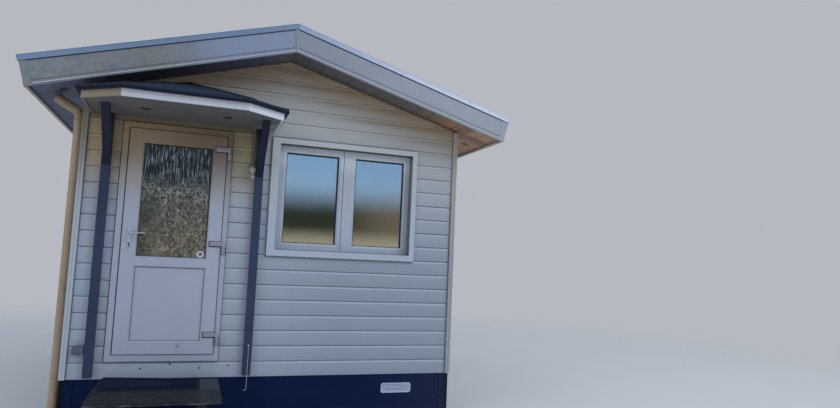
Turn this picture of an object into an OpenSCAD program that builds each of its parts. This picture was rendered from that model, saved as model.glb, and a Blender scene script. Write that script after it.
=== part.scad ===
// Garden office pod: a small gable-fronted cabin with shiplap-clad walls on
// a navy plinth, a deep-fascia low roof, a glazed door under a hipped canopy
// on two knee-braced posts, and a wide two-sash window.
// The front faces -Y. +Z is up and Z = 0 is the ground.

/* [Body] */
// Width across the wall frames, without the corner trims
wall_w = 3540; // [3200:10:4200]
// Middle of the walls, from the line of the ridge
wall_x = 16; // [-40:1:40]
// Depth from front wall face to back wall face
depth = 4800; // [3600:50:6000]
// Thickness of the walls
wall_t = 150; // [100:5:200]
// Height of the plinth, up to the bottom of the cladding
plinth_h = 450; // [300:10:700]
// Thickness of the plinth walls
plinth_t = 60; // [40:5:120]
// How far the plinth's front and back stand in from the cladding
plinth_in = 10; // [0:1:25]
// How far the plinth's sides stand out from the wall frames
plinth_out = 17; // [0:1:20]
// Thickness of the floor deck that stands on the plinth
floor_t = 150; // [100:10:200]
// Width of each leg of a corner trim
trim_w = 48; // [40:2:90]
// How far the corner trims stand proud of the wall frames
trim_proud = 22; // [15:1:35]

/* [Roof] */
// Pitch of both roof slopes, in degrees
pitch = 16; // [10:0.5:25]
// Height of the soffit at the ridge, above the ground
soffit_apex = 3492; // [3300:1:3700]
// Overhang of the gables, to the bargeboard's face
gable_over = 392; // [200:1:500]
// Slope length from ridge to the eaves fascia's face
slope_len = 2245; // [2100:5:2700]
// Height of the fascia boards, square to the slope
fascia_h = 214; // [150:1:300]
// Thickness of the roof panels
panel_t = 194; // [120:2:240]
// Height of the metal roof trim, square to the slope
trim_h = 50; // [25:1:60]

/* [Door] */
// Middle of the door frame, from the middle of the wall
door_x = -967; // [-1050:1:-900]
// Outer width of the door frame
door_w = 950; // [850:5:1000]
// Outer height of the door frame
door_h = 2130; // [2000:5:2200]
// Visible width of the door frame
door_fr = 52; // [40:1:70]
// Thickness of the door leaf
leaf_t = 65; // [50:1:80]
// Length of the lever
lever_len = 132; // [100:1:150]

/* [Window] */
// Left edge of the window trim, from the middle of the wall
win_x0 = -126; // [-180:1:0]
// Right edge of the window trim
win_x1 = 1359; // [1250:1:1450]
// Bottom edge of the window trim, above the ground
win_z0 = 1580; // [1500:1:1700]
// Top edge of the window trim, above the ground
win_z1 = 2724; // [2500:1:2780]
// How far back from the wall's face the sashes sit
win_set = 76; // [40:1:85]

/* [Canopy] */
// Middle of the canopy, from the middle of the wall
can_x = -908; // [-950:1:-850]
// Half width of the canopy at the wall
can_side = 806; // [700:1:840]
// Half width of the canopy's front edge
can_front = 486; // [400:1:600]
// Depth of the canopy's sides
can_d1 = 580; // [450:1:650]
// Depth of the canopy's front edge
can_d2 = 827; // [650:1:900]
// Underside of the canopy fascia, above the ground
can_z = 2774; // [2750:1:2800]
// Width of the canopy posts
post_w = 75; // [60:1:100]
// Thickness of the canopy posts
post_t = 60; // [40:1:80]

/* [Step] */
// Width of the door step
step_w = 980; // [900:10:1100]
// Depth of the door step
step_d = 892; // [700:2:1000]
// Thickness of the step's deck
step_t = 35; // [25:1:50]

/* [Hidden] */
$fn = 48;

half = wall_w / 2;
xl = wall_x - half;             // outer faces of the side wall frames
xr = wall_x + half;
floor_z = plinth_h + floor_t;
over_f = gable_over;            // bargeboard face, in front of the wall
n_low = -19;                    // underside of the fascias, from the soffit
n_top = n_low + fascia_h;       // top edge of the fascias
lin = 12;                       // soffit boards
n_slab = lin + panel_t;         // top of the roof panels
felt = 6;
gap = 0.4;                      // hairline between the roof's layers
n_trim = n_top - 2;             // lower edge of the roof trim
n_max = n_trim + trim_h;        // top of the roof trim
ue = slope_len;
fas_t = 20;
// the whole footprint, step to rear roof edge, is centred on the origin
front_ext = step_d + 45;
back_ext = over_f + 10;
yf = (front_ext - depth - back_ext) / 2;

// door
dx0 = door_x - door_w / 2;
dx1 = door_x + door_w / 2;
dz0 = floor_z;
dz1 = floor_z + door_h;
fy = -20;                       // face of the door frame
ly = -35;                       // face of the door leaf
sx0 = dx0 + door_fr;            // opening of the door frame
sx1 = dx1 - 46;
sz0 = dz0 + 60;
sz1 = dz1 - 53;
lx0 = sx0 + 9;                  // door leaf
lx1 = sx1 - 5;
lz0 = sz0 + 5;
lz1 = sz1 - 5;
gx0 = -1254; gx1 = -666;        // glass and lower panel of the door
gz0 = 1528; gz1 = 2547;
pz0 = 784; pz1 = 1433;
hx = sx1 + 18;                  // hinge axis
hy = -52;
hz = [2453, 1572, 745];         // bottoms of the three hinges
handle_x = -1318;
handle_z = 1730;

// window
hl = -50; hr = 1306; hb = 1640; ht = 2670;   // opening inside the lining
wl = hl - 10; wr = hr + 10; wb = hb - 10; wt = ht + 10;

// hook
post_rx = -236; post_lx = -1557; brace_x = [-1547, -237];
eye_x = -232; eye_z = 745;
eye_y = -post_t - 15;           // middle of the eye's ring
hook_y = eye_y - 11;            // the wire that the hook hangs from

function rp(u, n) = [u * cos(pitch) + n * sin(pitch),
                     soffit_apex - u * sin(pitch) + n * cos(pitch)];
function mt(n, g = 0) = [g, soffit_apex + n / cos(pitch) - g * tan(pitch)];
function under(x) = soffit_apex - abs(x) * tan(pitch);
function wtop(x) = under(x) - gap;

// moves a piece from the front wall's frame to the model's frame
module place() { translate([0, yf, 0]) children(); }
// extrudes a shape drawn in X and Z along Y, from y0 to y1
module along_y(y0, y1) {
  translate([0, y1, 0]) rotate([90, 0, 0]) linear_extrude(height = y1 - y0) children();
}
// extrudes a shape drawn in Y and Z along X, from x0 to x1
module along_x(x0, x1) {
  translate([x0, 0, 0]) rotate([90, 0, 90]) linear_extrude(height = x1 - x0) children();
}
module box(x0, x1, y0, y1, z0, z1) {
  translate([x0, y0, z0]) cube([x1 - x0, y1 - y0, z1 - z0]);
}
module ring_box(x0, x1, z0, z1, w, y0, y1) {
  difference() {
    box(x0, x1, y0, y1, z0, z1);
    box(x0 + w, x1 - w, y0 - 1, y1 + 1, z0 + w, z1 - w);
  }
}
// one slope's layer between n0 and n1, from the ridge to u1
module layer(n0, n1, u1, g = 0) {
  polygon([mt(n0, g), rp(u1, n0), rp(u1, n1), mt(n1, g)]);
}
module both() { children(); mirror([1, 0, 0]) children(); }

module plinth_walls() color("#1d2a4a") place() {
  a0 = xl - plinth_out;
  a1 = xr + plinth_out;
  b = plinth_in + plinth_t;
  box(a0, a1, plinth_in, b, 0, plinth_h);
  box(a0, a1, depth - b, depth - plinth_in, 0, plinth_h);
  box(a0, a0 + plinth_t, b + 2, depth - b - 2, 0, plinth_h);
  box(a1 - plinth_t, a1, b + 2, depth - b - 2, 0, plinth_h);
}
module floor() color("#9a8468") place() box(xl, xr, 0, depth, plinth_h, floor_z);

module front_wall_left() color("#b9bfc6") place()
  along_y(0, wall_t) polygon([[xl, floor_z], [dx0, floor_z], [dx0, wtop(dx0)], [xl, wtop(xl)]]);
module front_wall_over_door() color("#b9bfc6") place()
  along_y(0, wall_t) polygon([[dx0, dz1], [dx1, dz1], [dx1, wtop(dx1)], [dx0, wtop(dx0)]]);
module front_wall_right() color("#b9bfc6") place() difference() {
  along_y(0, wall_t) polygon([[dx1, floor_z], [xr, floor_z], [xr, wtop(xr)], [0, wtop(0)], [dx1, wtop(dx1)]]);
  box(wl, wr, -1, wall_t + 1, wb, wt);
}
module back_wall() color("#b9bfc6") place()
  along_y(depth - wall_t, depth) polygon([[xl, floor_z], [xr, floor_z], [xr, wtop(xr)], [0, wtop(0)], [xl, wtop(xl)]]);
// a side wall between the outer face x and the inner face x1
module side_wall(x, x1) along_y(wall_t, depth - wall_t)
  polygon([[x1, floor_z], [x, floor_z], [x, wtop(x)], [x1, wtop(x1)]]);
module left_wall() color("#b9bfc6") place() side_wall(xl, xl + wall_t);
module right_wall() color("#b9bfc6") place() side_wall(xr, xr - wall_t);

// L-shaped corner boards, cut off under the soffit
module corner_trim(z1) difference() {
  box(trim_proud - trim_w, trim_proud, -trim_proud, trim_w - trim_proud, plinth_h + 0.5, z1);
  box(-200, 0, 0, 100, plinth_h - 10, z1 + 10);
}
module corner_pair() {
  translate([xr, 0, 0]) corner_trim(under(xr + trim_proud) - 1);
  translate([xl, 0, 0]) mirror([1, 0, 0]) corner_trim(under(xl - trim_proud) - 1);
}
module corner_trims() color("#d7dadd") place() {
  corner_pair();
  translate([0, depth, 0]) mirror([0, 1, 0]) corner_pair();
}

module roof_right() color("#7b7f86") place()
  along_y(-over_f + fas_t, depth + over_f - fas_t) layer(lin, n_slab, ue - fas_t - gap);
module roof_left() color("#7b7f86") place() mirror([1, 0, 0])
  along_y(-over_f + fas_t, depth + over_f - fas_t) layer(lin, n_slab, ue - fas_t - gap);
module soffits() color("#8a8b90") place() both()
  along_y(-over_f + fas_t, depth + over_f - fas_t) layer(0, lin - gap, ue - fas_t - gap, 0.5);
// roofing felt with a raised, covered batten along every edge
module felt_side() {
  e = ue - gap;
  nb = n_max - 8 - gap;
  along_y(-over_f, depth + over_f) layer(n_slab + gap, n_slab + felt, e, 0.5);
  along_y(-over_f, -over_f + 48) layer(n_slab + felt - 1, nb, e, 0.5);
  along_y(depth + over_f - 48, depth + over_f) layer(n_slab + felt - 1, nb, e, 0.5);
  along_y(-over_f, depth + over_f) polygon([rp(ue - 48, n_slab + felt - 1), rp(e, n_slab + felt - 1), rp(e, nb), rp(ue - 48, nb)]);
}
module roof_felt() color("#2f3338") place() both() difference() {
  felt_side();
  // the fascias stand in front of the felt's edge
  along_y(-over_f - 1, -over_f + fas_t) layer(n_slab - 5, n_top, ue + 9, 0.4);
  along_y(depth + over_f - fas_t, depth + over_f + 1) layer(n_slab - 5, n_top, ue + 9, 0.4);
}
module trim_v() {
  both() {
    along_y(-over_f - 10, -over_f) layer(n_trim, n_max, ue + 10);
    along_y(-over_f - 1, -over_f + 52) layer(n_max - 8, n_max, ue + 10);
  }
}
module roof_trims() color("#c9d2de") place() {
  trim_v();
  translate([0, depth, 0]) mirror([0, 1, 0]) trim_v();
  both() along_y(-over_f + 54, depth + over_f - 54) {
    polygon([rp(ue, n_trim), rp(ue + 10, n_trim), rp(ue + 10, n_max), rp(ue, n_max)]);
    polygon([rp(ue - 52, n_max - 8), rp(ue + 1, n_max - 8), rp(ue + 1, n_max), rp(ue - 52, n_max)]);
  }
}
module barge_v() {
  both() {
    along_y(-over_f, -over_f + fas_t) layer(n_low, n_top, ue);
    along_y(-over_f - 4, -over_f + 1) layer(n_low, n_low + 40, ue + 4);
  }
}
module bargeboards() color("#c3c7cf") place() {
  barge_v();
  translate([0, depth, 0]) mirror([0, 1, 0]) barge_v();
}
module eaves_fascias() color("#c3c7cf") place() both()
  along_y(-over_f + fas_t + 1, depth + over_f - fas_t - 1) {
    polygon([rp(ue - fas_t, n_low), rp(ue, n_low), rp(ue, n_slab), rp(ue - fas_t, n_slab)]);
    polygon([rp(ue - 1, n_low), rp(ue + 4, n_low), rp(ue + 4, n_low + 40), rp(ue - 1, n_low + 40)]);
  }
// round recessed lights under the side eaves, near the four corners
module eaves_spot(u, y) {
  p = rp(u, 0);
  translate([p[0], y, p[1]]) rotate([0, pitch, 0]) translate([0, 0, -5.2]) cylinder(r = 40, h = 5);
}
module front_spots() {
  eaves_spot(2081, 244);
  mirror([1, 0, 0]) eaves_spot(2008, -70);
}
module eaves_spotlights() color("#26282c") place() {
  front_spots();
  translate([0, depth, 0]) rotate([0, 0, 180]) front_spots();
}

module window_trim() color("#d9dce1") place() {
  difference() {
    box(win_x0, win_x1, -30, 0, win_z0, win_z1);
    box(hl, hr, -31, 1, hb, ht);
  }
  difference() {
    box(wl, wr, -1, win_set, wb, wt);
    box(hl, hr, -2, win_set + 1, hb, ht);
  }
}
sash_l = [-44, 604]; sash_r = [660, 1302];
sash_z = [1646, 2664];
module window_frame() color("#e4e6ea") place() difference() {
  box(wl, wr, win_set, win_set + 70, wb, wt);
  for (s = [sash_l, sash_r]) {
    box(s[0] - 2, s[1] + 2, win_set - 1, win_set + 62, sash_z[0] - 2, sash_z[1] + 2);
    box(s[0] + 12, s[1] - 12, win_set, win_set + 71, sash_z[0] + 12, sash_z[1] - 12);
  }
}
glass_l = [30, 556]; glass_r = [731, 1247];
glass_z = [1716, 2606];
module window_sashes() color("#e4e6ea") place() {
  for (i = [0, 1]) {
    s = i == 0 ? sash_l : sash_r;
    g = i == 0 ? glass_l : glass_r;
    difference() {
      box(s[0], s[1], win_set + 2, win_set + 60, sash_z[0], sash_z[1]);
      box(g[0], g[1], win_set, win_set + 61, glass_z[0], glass_z[1]);
    }
  }
}
module window_glass() color("#5f7f9a") place()
  for (g = [glass_l, glass_r]) box(g[0], g[1], win_set + 20, win_set + 44, glass_z[0], glass_z[1]);

// outward-opening door in a frame with a stop behind the leaf
module door_frame() color("#e6e7ea") place() difference() {
  box(dx0, dx1, fy, 60, dz0, dz1);
  box(sx0, sx1, fy - 1, 35, sz0, sz1);
  box(sx0 + 15, sx1 - 15, 30, 61, sz0 + 15, sz1 - 15);
}
module door_leaf() color("#e6e7ea") place() difference() {
  box(lx0, lx1, ly, ly + leaf_t, lz0, lz1);
  box(gx0, gx1, ly - 1, ly + leaf_t + 1, gz0, gz1);
  box(gx0, gx1, ly - 1, ly + leaf_t + 1, pz0, pz1);
  // spindle and lock cylinder
  translate([handle_x, 40, handle_z]) rotate([90, 0, 0]) cylinder(r = 12, h = 90);
}
module door_panel() color("#e6e7ea") place() box(gx0, gx1, ly + 18, ly + 42, pz0, pz1);
module door_glass() color("#6d7780") place() box(gx0, gx1, ly + 18, ly + 42, gz0, gz1);
// flag hinges: the arm and upper knuckle ride on the leaf
module door_hinges() color("#b8bcc4") place() for (z = hz) {
  difference() {
    union() {
      box(lx1 - 97, lx1 - 2, ly - 8, ly, z + 72, z + 115);
      box(lx1 - 4, hx - 4, hy - 2, ly, z + 72, z + 115);
      translate([hx, hy, z + 59]) cylinder(r = 10, h = 56);
    }
    translate([hx, hy, z + 50]) cylinder(r = 5.05, h = 60);
  }
}
module frame_hinges() color("#b8bcc4") place() for (z = hz) {
  translate([hx, hy, z]) cylinder(r = 10, h = 58);
  translate([hx, hy, z + 57]) cylinder(r = 5, h = 48);
  box(hx - 8, hx + 8, hy, fy, z, z + 58);
  box(hx - 14, hx + 24, fy - 5, fy, z, z + 58);
}
module handle_plate() color("#aab0bb") place() {
  for (s = [0, 1]) {
    y0 = s == 0 ? ly - 8 : ly + leaf_t;
    difference() {
      box(handle_x - 15, handle_x + 15, y0, y0 + 8, handle_z - 140, handle_z + 62);
      translate([handle_x, y0 + 9, handle_z]) rotate([90, 0, 0]) cylinder(r = 10.5, h = 10);
    }
  }
  // lock cylinder right through the leaf
  translate([handle_x, ly - 8, handle_z - 96]) rotate([90, 0, 0]) cylinder(r = 8.5, h = 4);
}
module lever_side(y0, y1, yl) {
  translate([handle_x, y1, handle_z]) rotate([90, 0, 0]) cylinder(r = 10, h = y1 - y0);
  translate([handle_x, yl, handle_z]) rotate([0, 90, 0]) cylinder(r = 9, h = lever_len - 9);
  translate([handle_x, yl, handle_z]) sphere(r = 9.8);
  translate([handle_x + lever_len - 9, yl, handle_z]) sphere(r = 9);
}
module door_handle() color("#c2c7cf") place() {
  lever_side(ly - 55, ly + 20, ly - 52);
  lever_side(ly + 10, ly + leaf_t + 55, ly + leaf_t + 52);
}
module screw_eye() {
  // ring that stands off along -Y, lying flat
  rotate_extrude($fn = 48) translate([11, 0]) circle(r = 2.5, $fn = 24);
  translate([0, 15, 0]) rotate([90, 0, 0]) cylinder(r = 2.5, h = 5, $fn = 24);
  translate([0, 15, 0]) rotate([90, 0, 0]) cylinder(r = 6, h = 1.5, $fn = 24);
}
module door_eye() color("#8f949c") place()
  translate([-845, ly - 15, 738]) rotate([0, 90, 0]) screw_eye();

module can_outline(o, y0 = 0) {
  s = can_side + o; d1 = can_d1 + o * 0.42; f = can_front + o * 0.42; d2 = can_d2 + o;
  polygon([[can_x - s, y0], [can_x - s, -d1], [can_x - f, -d2], [can_x + f, -d2], [can_x + s, -d1], [can_x + s, y0]]);
}
can_top = can_z + 63;
module canopy_soffit() color("#7d7d80") place()
  translate([0, 0, can_z + 10]) linear_extrude(height = 12) can_outline(-18.5);
module canopy_fascia() color("#e2e4e9") place()
  translate([0, 0, can_z]) linear_extrude(height = can_top - can_z) difference() {
    can_outline(0);
    can_outline(-18, 1);
  }
can_apex = 3165;
module canopy_roof() color("#20262f") place() {
  o = 43; h = 33;
  s = can_side + o; d1 = can_d1 + o * 0.42; f = can_front + o * 0.42; d2 = can_d2 + o;
  base = [[can_x - s, 0], [can_x - s, -d1], [can_x - f, -d2], [can_x + f, -d2], [can_x + s, -d1], [can_x + s, 0]];
  difference() {
  polyhedron(
    points = concat([for (p = base) [p[0], p[1], can_top]], [for (p = base) [p[0], p[1], can_top + h]], [[can_x, 0, can_apex]]),
    faces = concat([[5, 4, 3, 2, 1, 0]],
      [for (i = [0:4]) [i, i + 1, i + 7, i + 6]],
      [[0, 6, 12, 11, 5]],
      [for (i = [0:4]) [i + 6, i + 7, 12]]));
  // fits round the corner trim
  box(xl - 50, xl + trim_w - trim_proud + 1, -trim_proud - 1, 1, can_top - 1, can_top + 200);
  }
}
module canopy_spotlights() color("#3a3b3e") place()
  for (x = [-336, 336]) translate([can_x + x, -385, can_z + 4]) cylinder(r = 42, h = 6);
module canopy_posts() color("#27314f") place()
  for (x = [post_lx, post_rx]) box(x - post_w / 2, x + post_w / 2, -post_t, 0, plinth_h + 20, can_z + 10);
module canopy_braces() color("#1c2440") place()
  for (x = brace_x) along_x(x - 33, x + 33)
    polygon([[-post_t, 2318], [-post_t, 2412], [-402, can_z + 10], [-490, can_z + 10]]);

module motion_sensor() color("#a9adb2") place() {
  translate([-306, 0, 2381]) rotate([90, 0, 0]) cylinder(r = 17, h = 68);
  translate([-304, -64, 2381]) rotate([90, 0, 0]) cylinder(r = 32, h = 20);
  translate([-302, -72, 2336]) rotate([90, 0, 0]) cylinder(r = 8, h = 8);
  translate([-302, -74, 2309]) sphere(r = 19);
  box(-308, -296, -80, -70, 2320, 2356);
}
module sensor_conduit() color("#a7aca6") place()
  translate([-300, -22, 2414]) cylinder(r = 9, h = can_z + 10 - 2414);
module socket_box() color("#7d8796") place() {
  box(-1690, -1596, -52, 0, 667, 737);
  box(-1686, -1600, -60, -51, 671, 733);
}
module vent_plate() {
  w = 314; h = 97; r = 24;
  difference() {
    union() {
      box(-w / 2 + r, w / 2 - r, -6, 0, -h / 2, h / 2);
      box(-w / 2, w / 2, -6, 0, -h / 2 + r, h / 2 - r);
      for (x = [-1, 1], z = [-1, 1]) translate([x * (w / 2 - r), 0, z * (h / 2 - r)]) rotate([90, 0, 0]) cylinder(r = r, h = 6);
    }
  }
}
module plinth_vents() color("#dfe1e4") place() {
  translate([1241, plinth_in, plinth_h - 137]) vent_plate();
  translate([-1241, depth - plinth_in, plinth_h - 137]) rotate([0, 0, 180]) vent_plate();
}
// straight up beside the corner, then a bend out to the outlet in the soffit
module downpipe() {
  x = 1820; r = 90; a = 60; z = 2735; w = 42;
  translate([-x, 110, 30]) cylinder(r = w, h = z - 30 + 0.5);
  translate([-x - r, 110, z]) rotate([90, 0, 0]) rotate_extrude(angle = a) translate([r, 0]) circle(r = w);
  translate([-x - r + r * cos(a), 110, z + r * sin(a)]) rotate([0, -a, 0]) translate([0, 0, -0.5]) cylinder(r = w, h = 330);
}
// what is above the right slope's soffit, so that the pipes end flush under it
module above_soffit() translate([0, 0, soffit_apex - 0.3]) rotate([0, pitch, 0]) translate([1000, 0, 0]) cube([1500, depth, 600]);
module downpipes() color("#cdc6b4") place() {
  difference() { downpipe(); mirror([1, 0, 0]) above_soffit(); }
  difference() { translate([2 * wall_x, depth, 0]) rotate([0, 0, 180]) downpipe(); above_soffit(); }
}
step_x = -970;
step_z = plinth_h - 2;
module door_step() color("#8a7f6e") place()
  box(step_x - step_w / 2, step_x + step_w / 2, -front_ext, -45, step_z - step_t, step_z);
module step_bearers() color("#80755f") place()
  for (s = [-1, 1]) translate([step_x + s * 352, 0, 0])
    box(-22.5, 22.5, -front_ext + 20, -65, step_z - step_t - 95, step_z - step_t);
module step_legs() color("#7c715f") place()
  for (s = [-1, 1], y = [-front_ext + 60, -105]) translate([step_x + s * 352, y, 0])
    translate([-22.5, -22.5, 0]) cube([45, 45, step_z - step_t - 95]);
module door_mat() color("#2a2b2d") place() box(-1432, -645, -505, -52, step_z, step_z + 8);

module post_eye() color("#8f949c") place() translate([eye_x, eye_y, eye_z]) screw_eye();
// wire hook that hangs from the post's eye
module cabin_hook() color("#9aa0a8") place() {
  translate([eye_x - 2.5, hook_y, eye_z]) rotate([0, 90, 0]) difference() {
    cylinder(r = 10.5, h = 5);
    translate([0, 0, -1]) cylinder(r = 5.5, h = 7);
  }
  translate([eye_x, hook_y, eye_z - 391]) cylinder(r = 2.8, h = 383, $fn = 24);
  translate([eye_x - 13, hook_y, eye_z - 391]) rotate([90, 0, 0]) rotate_extrude(angle = -180, $fn = 48) translate([13, 0]) circle(r = 2.8, $fn = 24);
  translate([eye_x - 26, hook_y, eye_z - 391]) cylinder(r = 2.8, h = 14, $fn = 24);
}

plinth_walls();
floor();
front_wall_left();
front_wall_over_door();
front_wall_right();
back_wall();
left_wall();
right_wall();
corner_trims();
roof_left();
roof_right();
roof_felt();
roof_trims();
soffits();
bargeboards();
eaves_fascias();
eaves_spotlights();
window_trim();
window_frame();
window_sashes();
window_glass();
door_frame();
frame_hinges();
door_leaf();
door_panel();
door_glass();
door_hinges();
handle_plate();
door_handle();
door_eye();
canopy_soffit();
canopy_fascia();
canopy_roof();
canopy_spotlights();
canopy_posts();
canopy_braces();
motion_sensor();
sensor_conduit();
socket_box();
plinth_vents();
downpipes();
door_step();
step_bearers();
step_legs();
door_mat();
post_eye();
cabin_hook();
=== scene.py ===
import bpy, bmesh, math, random
from mathutils import Vector, Matrix, noise


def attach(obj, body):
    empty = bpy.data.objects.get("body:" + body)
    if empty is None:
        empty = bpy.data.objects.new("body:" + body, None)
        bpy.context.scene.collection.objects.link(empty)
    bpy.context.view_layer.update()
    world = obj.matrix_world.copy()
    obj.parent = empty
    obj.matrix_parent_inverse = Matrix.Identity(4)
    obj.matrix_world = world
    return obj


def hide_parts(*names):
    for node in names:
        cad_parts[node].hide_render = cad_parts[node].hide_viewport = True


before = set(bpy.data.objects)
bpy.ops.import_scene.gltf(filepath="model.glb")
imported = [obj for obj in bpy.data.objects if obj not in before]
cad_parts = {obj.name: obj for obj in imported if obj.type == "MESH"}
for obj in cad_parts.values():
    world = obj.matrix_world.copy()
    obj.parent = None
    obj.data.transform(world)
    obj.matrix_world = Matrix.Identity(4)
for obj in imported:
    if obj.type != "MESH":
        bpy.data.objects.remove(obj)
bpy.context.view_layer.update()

# All sizes are metres. Shapes are drawn with the front wall's face at Y = 0 and
# the ridge at X = 0, then moved by YF into the model's frame.
YF = -2.1325
PITCH = math.radians(16.0)
CP, SP, TP = math.cos(PITCH), math.sin(PITCH), math.tan(PITCH)
APEX = 3.492
HALF = 1.770
WX = 0.016
XL, XR = WX - HALF, WX + HALF
DEPTH = 4.8
OVER = 0.392
UE = 2.245
Z0 = 0.45
STRIP = 0.143


def under(x):
    return APEX - abs(x) * TP


def RP(u, n):
    return (u * CP + n * SP, APEX - u * SP + n * CP)


def nz(x, y, z, seed=0.0):
    return noise.noise(Vector((x + seed * 13.7, y - seed * 7.1, z + seed * 3.3)))


# ------------------------------------------------------------------ mesh tools
class MB:
    """Collects closed shapes, each face with a material index, smooth flag and tint."""

    def __init__(self):
        self.v, self.f, self.mi, self.sm, self.ti = [], [], [], [], []

    def add(self, vs, fs, mi=0, sm=False, t=0.5):
        o = len(self.v)
        self.v += [tuple(p) for p in vs]
        self.f += [tuple(i + o for i in q) for q in fs]
        self.mi += [mi] * len(fs)
        self.sm += [sm] * len(fs)
        self.ti += [t] * len(fs)

    def bm(self, b, mi=0, sm=False, t=0.5, M=None):
        if M is not None:
            bmesh.ops.transform(b, matrix=M, verts=b.verts[:])
        b.verts.index_update()
        vs = [tuple(v.co) for v in b.verts]
        fs = [tuple(v.index for v in f.verts) for f in b.faces]
        self.add(vs, fs, mi, sm, t)
        b.free()

    def merge(self, other):
        o = len(self.v)
        self.v += other.v
        self.f += [tuple(i + o for i in q) for q in other.f]
        self.mi += other.mi
        self.sm += other.sm
        self.ti += other.ti

    def mirrored_x(self, c=0.0):
        m = MB()
        m.v = [(2 * c - x, y, z) for x, y, z in self.v]
        m.f = [tuple(reversed(q)) for q in self.f]
        m.mi, m.sm, m.ti = list(self.mi), list(self.sm), list(self.ti)
        return m

    def mirrored_y(self):
        m = MB()
        m.v = [(x, DEPTH - y, z) for x, y, z in self.v]
        m.f = [tuple(reversed(q)) for q in self.f]
        m.mi, m.sm, m.ti = list(self.mi), list(self.sm), list(self.ti)
        return m

    def turned(self, c=0.0):
        m = MB()
        m.v = [(2 * c - x, DEPTH - y, z) for x, y, z in self.v]
        m.f, m.mi, m.sm, m.ti = list(self.f), list(self.mi), list(self.sm), list(self.ti)
        return m

    def obj(self, name, mats, body="cabin", slot=None, rep=(), auto=35.0):
        me = bpy.data.meshes.new(name)
        me.from_pydata([(x, y + YF, z) for x, y, z in self.v], [], self.f)
        me.polygons.foreach_set("material_index", self.mi)
        me.polygons.foreach_set("use_smooth", self.sm)
        at = me.attributes.new("tint", "FLOAT", "FACE")
        at.data.foreach_set("value", self.ti)
        b = bmesh.new()
        b.from_mesh(me)
        bmesh.ops.recalc_face_normals(b, faces=b.faces[:])
        b.to_mesh(me)
        b.free()
        for m in mats:
            me.materials.append(m)
        if any(self.sm):
            me.set_sharp_from_angle(angle=math.radians(auto))
        me.update()
        o = bpy.data.objects.new(name, me)
        bpy.context.scene.collection.objects.link(o)
        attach(o, body)
        if rep:
            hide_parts(*rep)
        return o


def bev_box(mb, x0, x1, y0, y1, z0, z1, c=0.002, seg=1, mi=0, sm=False, t=0.5, M=None, only=None):
    b = bmesh.new()
    bmesh.ops.create_cube(b, size=1.0)
    for v in b.verts:
        v.co = Vector(((x0 + x1) / 2 + v.co.x * (x1 - x0), (y0 + y1) / 2 + v.co.y * (y1 - y0), (z0 + z1) / 2 + v.co.z * (z1 - z0)))
    if c > 0:
        ed = b.edges[:]
        if only is not None:
            ed = [e for e in ed if only(e)]
        bmesh.ops.bevel(b, geom=ed, offset=c, segments=seg, profile=0.5, affect="EDGES")
    mb.bm(b, mi, sm, t, M)


def prism(mb, pts, fn0, fn1, c=0.0, seg=1, mi=0, sm=False, t=0.5):
    """Closed solid between the outlines fn0(p) and fn1(p) of the 2D points pts."""
    b = bmesh.new()
    a = [b.verts.new(fn0(p)) for p in pts]
    d = [b.verts.new(fn1(p)) for p in pts]
    n = len(pts)
    b.faces.new(list(reversed(a)))
    b.faces.new(d)
    for i in range(n):
        b.faces.new((a[i], a[(i + 1) % n], d[(i + 1) % n], d[i]))
    bmesh.ops.recalc_face_normals(b, faces=b.faces[:])
    if c > 0:
        bmesh.ops.bevel(b, geom=b.edges[:], offset=c, segments=seg, profile=0.5, affect="EDGES")
    mb.bm(b, mi, sm, t)


def sweep(mb, rings, closed=False, caps=True, mi=0, sm=False, t=0.5):
    """Joins rings of points, each a closed section, one after another."""
    n = len(rings[0])
    vs = [p for r in rings for p in r]
    fs = []
    m = len(rings)
    for i in range(m if closed else m - 1):
        j = (i + 1) % m
        for k in range(n):
            q = (k + 1) % n
            fs.append((i * n + k, i * n + q, j * n + q, j * n + k))
    if caps and not closed:
        fs.append(tuple(reversed(range(n))))
        fs.append(tuple(range((m - 1) * n, m * n)))
    mb.add(vs, fs, mi, sm, t)


def along_x(mb, prof, x0, x1, step=0.0, mi=0, sm=False, t=0.5, wob=None):
    """prof is a closed list of (y, z)."""
    k = max(1, int(math.ceil((x1 - x0) / step))) if step else 1
    rings = []
    for i in range(k + 1):
        x = x0 + (x1 - x0) * i / k
        ring = []
        for y, z in prof:
            dy, dz = wob(x, y, z) if wob else (0, 0)
            ring.append((x, y + dy, z + dz))
        rings.append(ring)
    sweep(mb, rings, mi=mi, sm=sm, t=t)


def along_y(mb, prof, y0, y1, step=0.0, mi=0, sm=False, t=0.5, wob=None):
    """prof is a closed list of (x, z)."""
    k = max(1, int(math.ceil((y1 - y0) / step))) if step else 1
    rings = []
    for i in range(k + 1):
        y = y0 + (y1 - y0) * i / k
        ring = []
        for x, z in prof:
            dx, dz = wob(x, y, z) if wob else (0, 0)
            ring.append((x + dx, y, z + dz))
        rings.append(ring)
    sweep(mb, rings, mi=mi, sm=sm, t=t)


def along_z(mb, prof, z0, z1, mi=0, sm=False, t=0.5):
    """prof is a closed list of (x, y)."""
    sweep(mb, [[(x, y, z0) for x, y in prof], [(x, y, z1) for x, y in prof]], mi=mi, sm=sm, t=t)


def along_slope(mb, prof, u0, u1, mi=0, sm=False, t=0.5, step=0.0):
    """prof is a closed list of (y, n); u0 None is the vertical cut at the ridge."""
    us = [u0, u1]
    if step:
        a = 0.02 if u0 is None else u0
        k = max(1, int(math.ceil((u1 - a) / step)))
        us = [u0] + [a + (u1 - a) * i / k for i in range(1, k)] + [u1]
    rings = []
    for u in us:
        ring = []
        for y, n in prof:
            uu = -n * TP + 0.0004 / CP if u is None else u
            x, z = RP(uu, n)
            ring.append((x, y, z))
        rings.append(ring)
    sweep(mb, rings, mi=mi, sm=sm, t=t)


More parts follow.
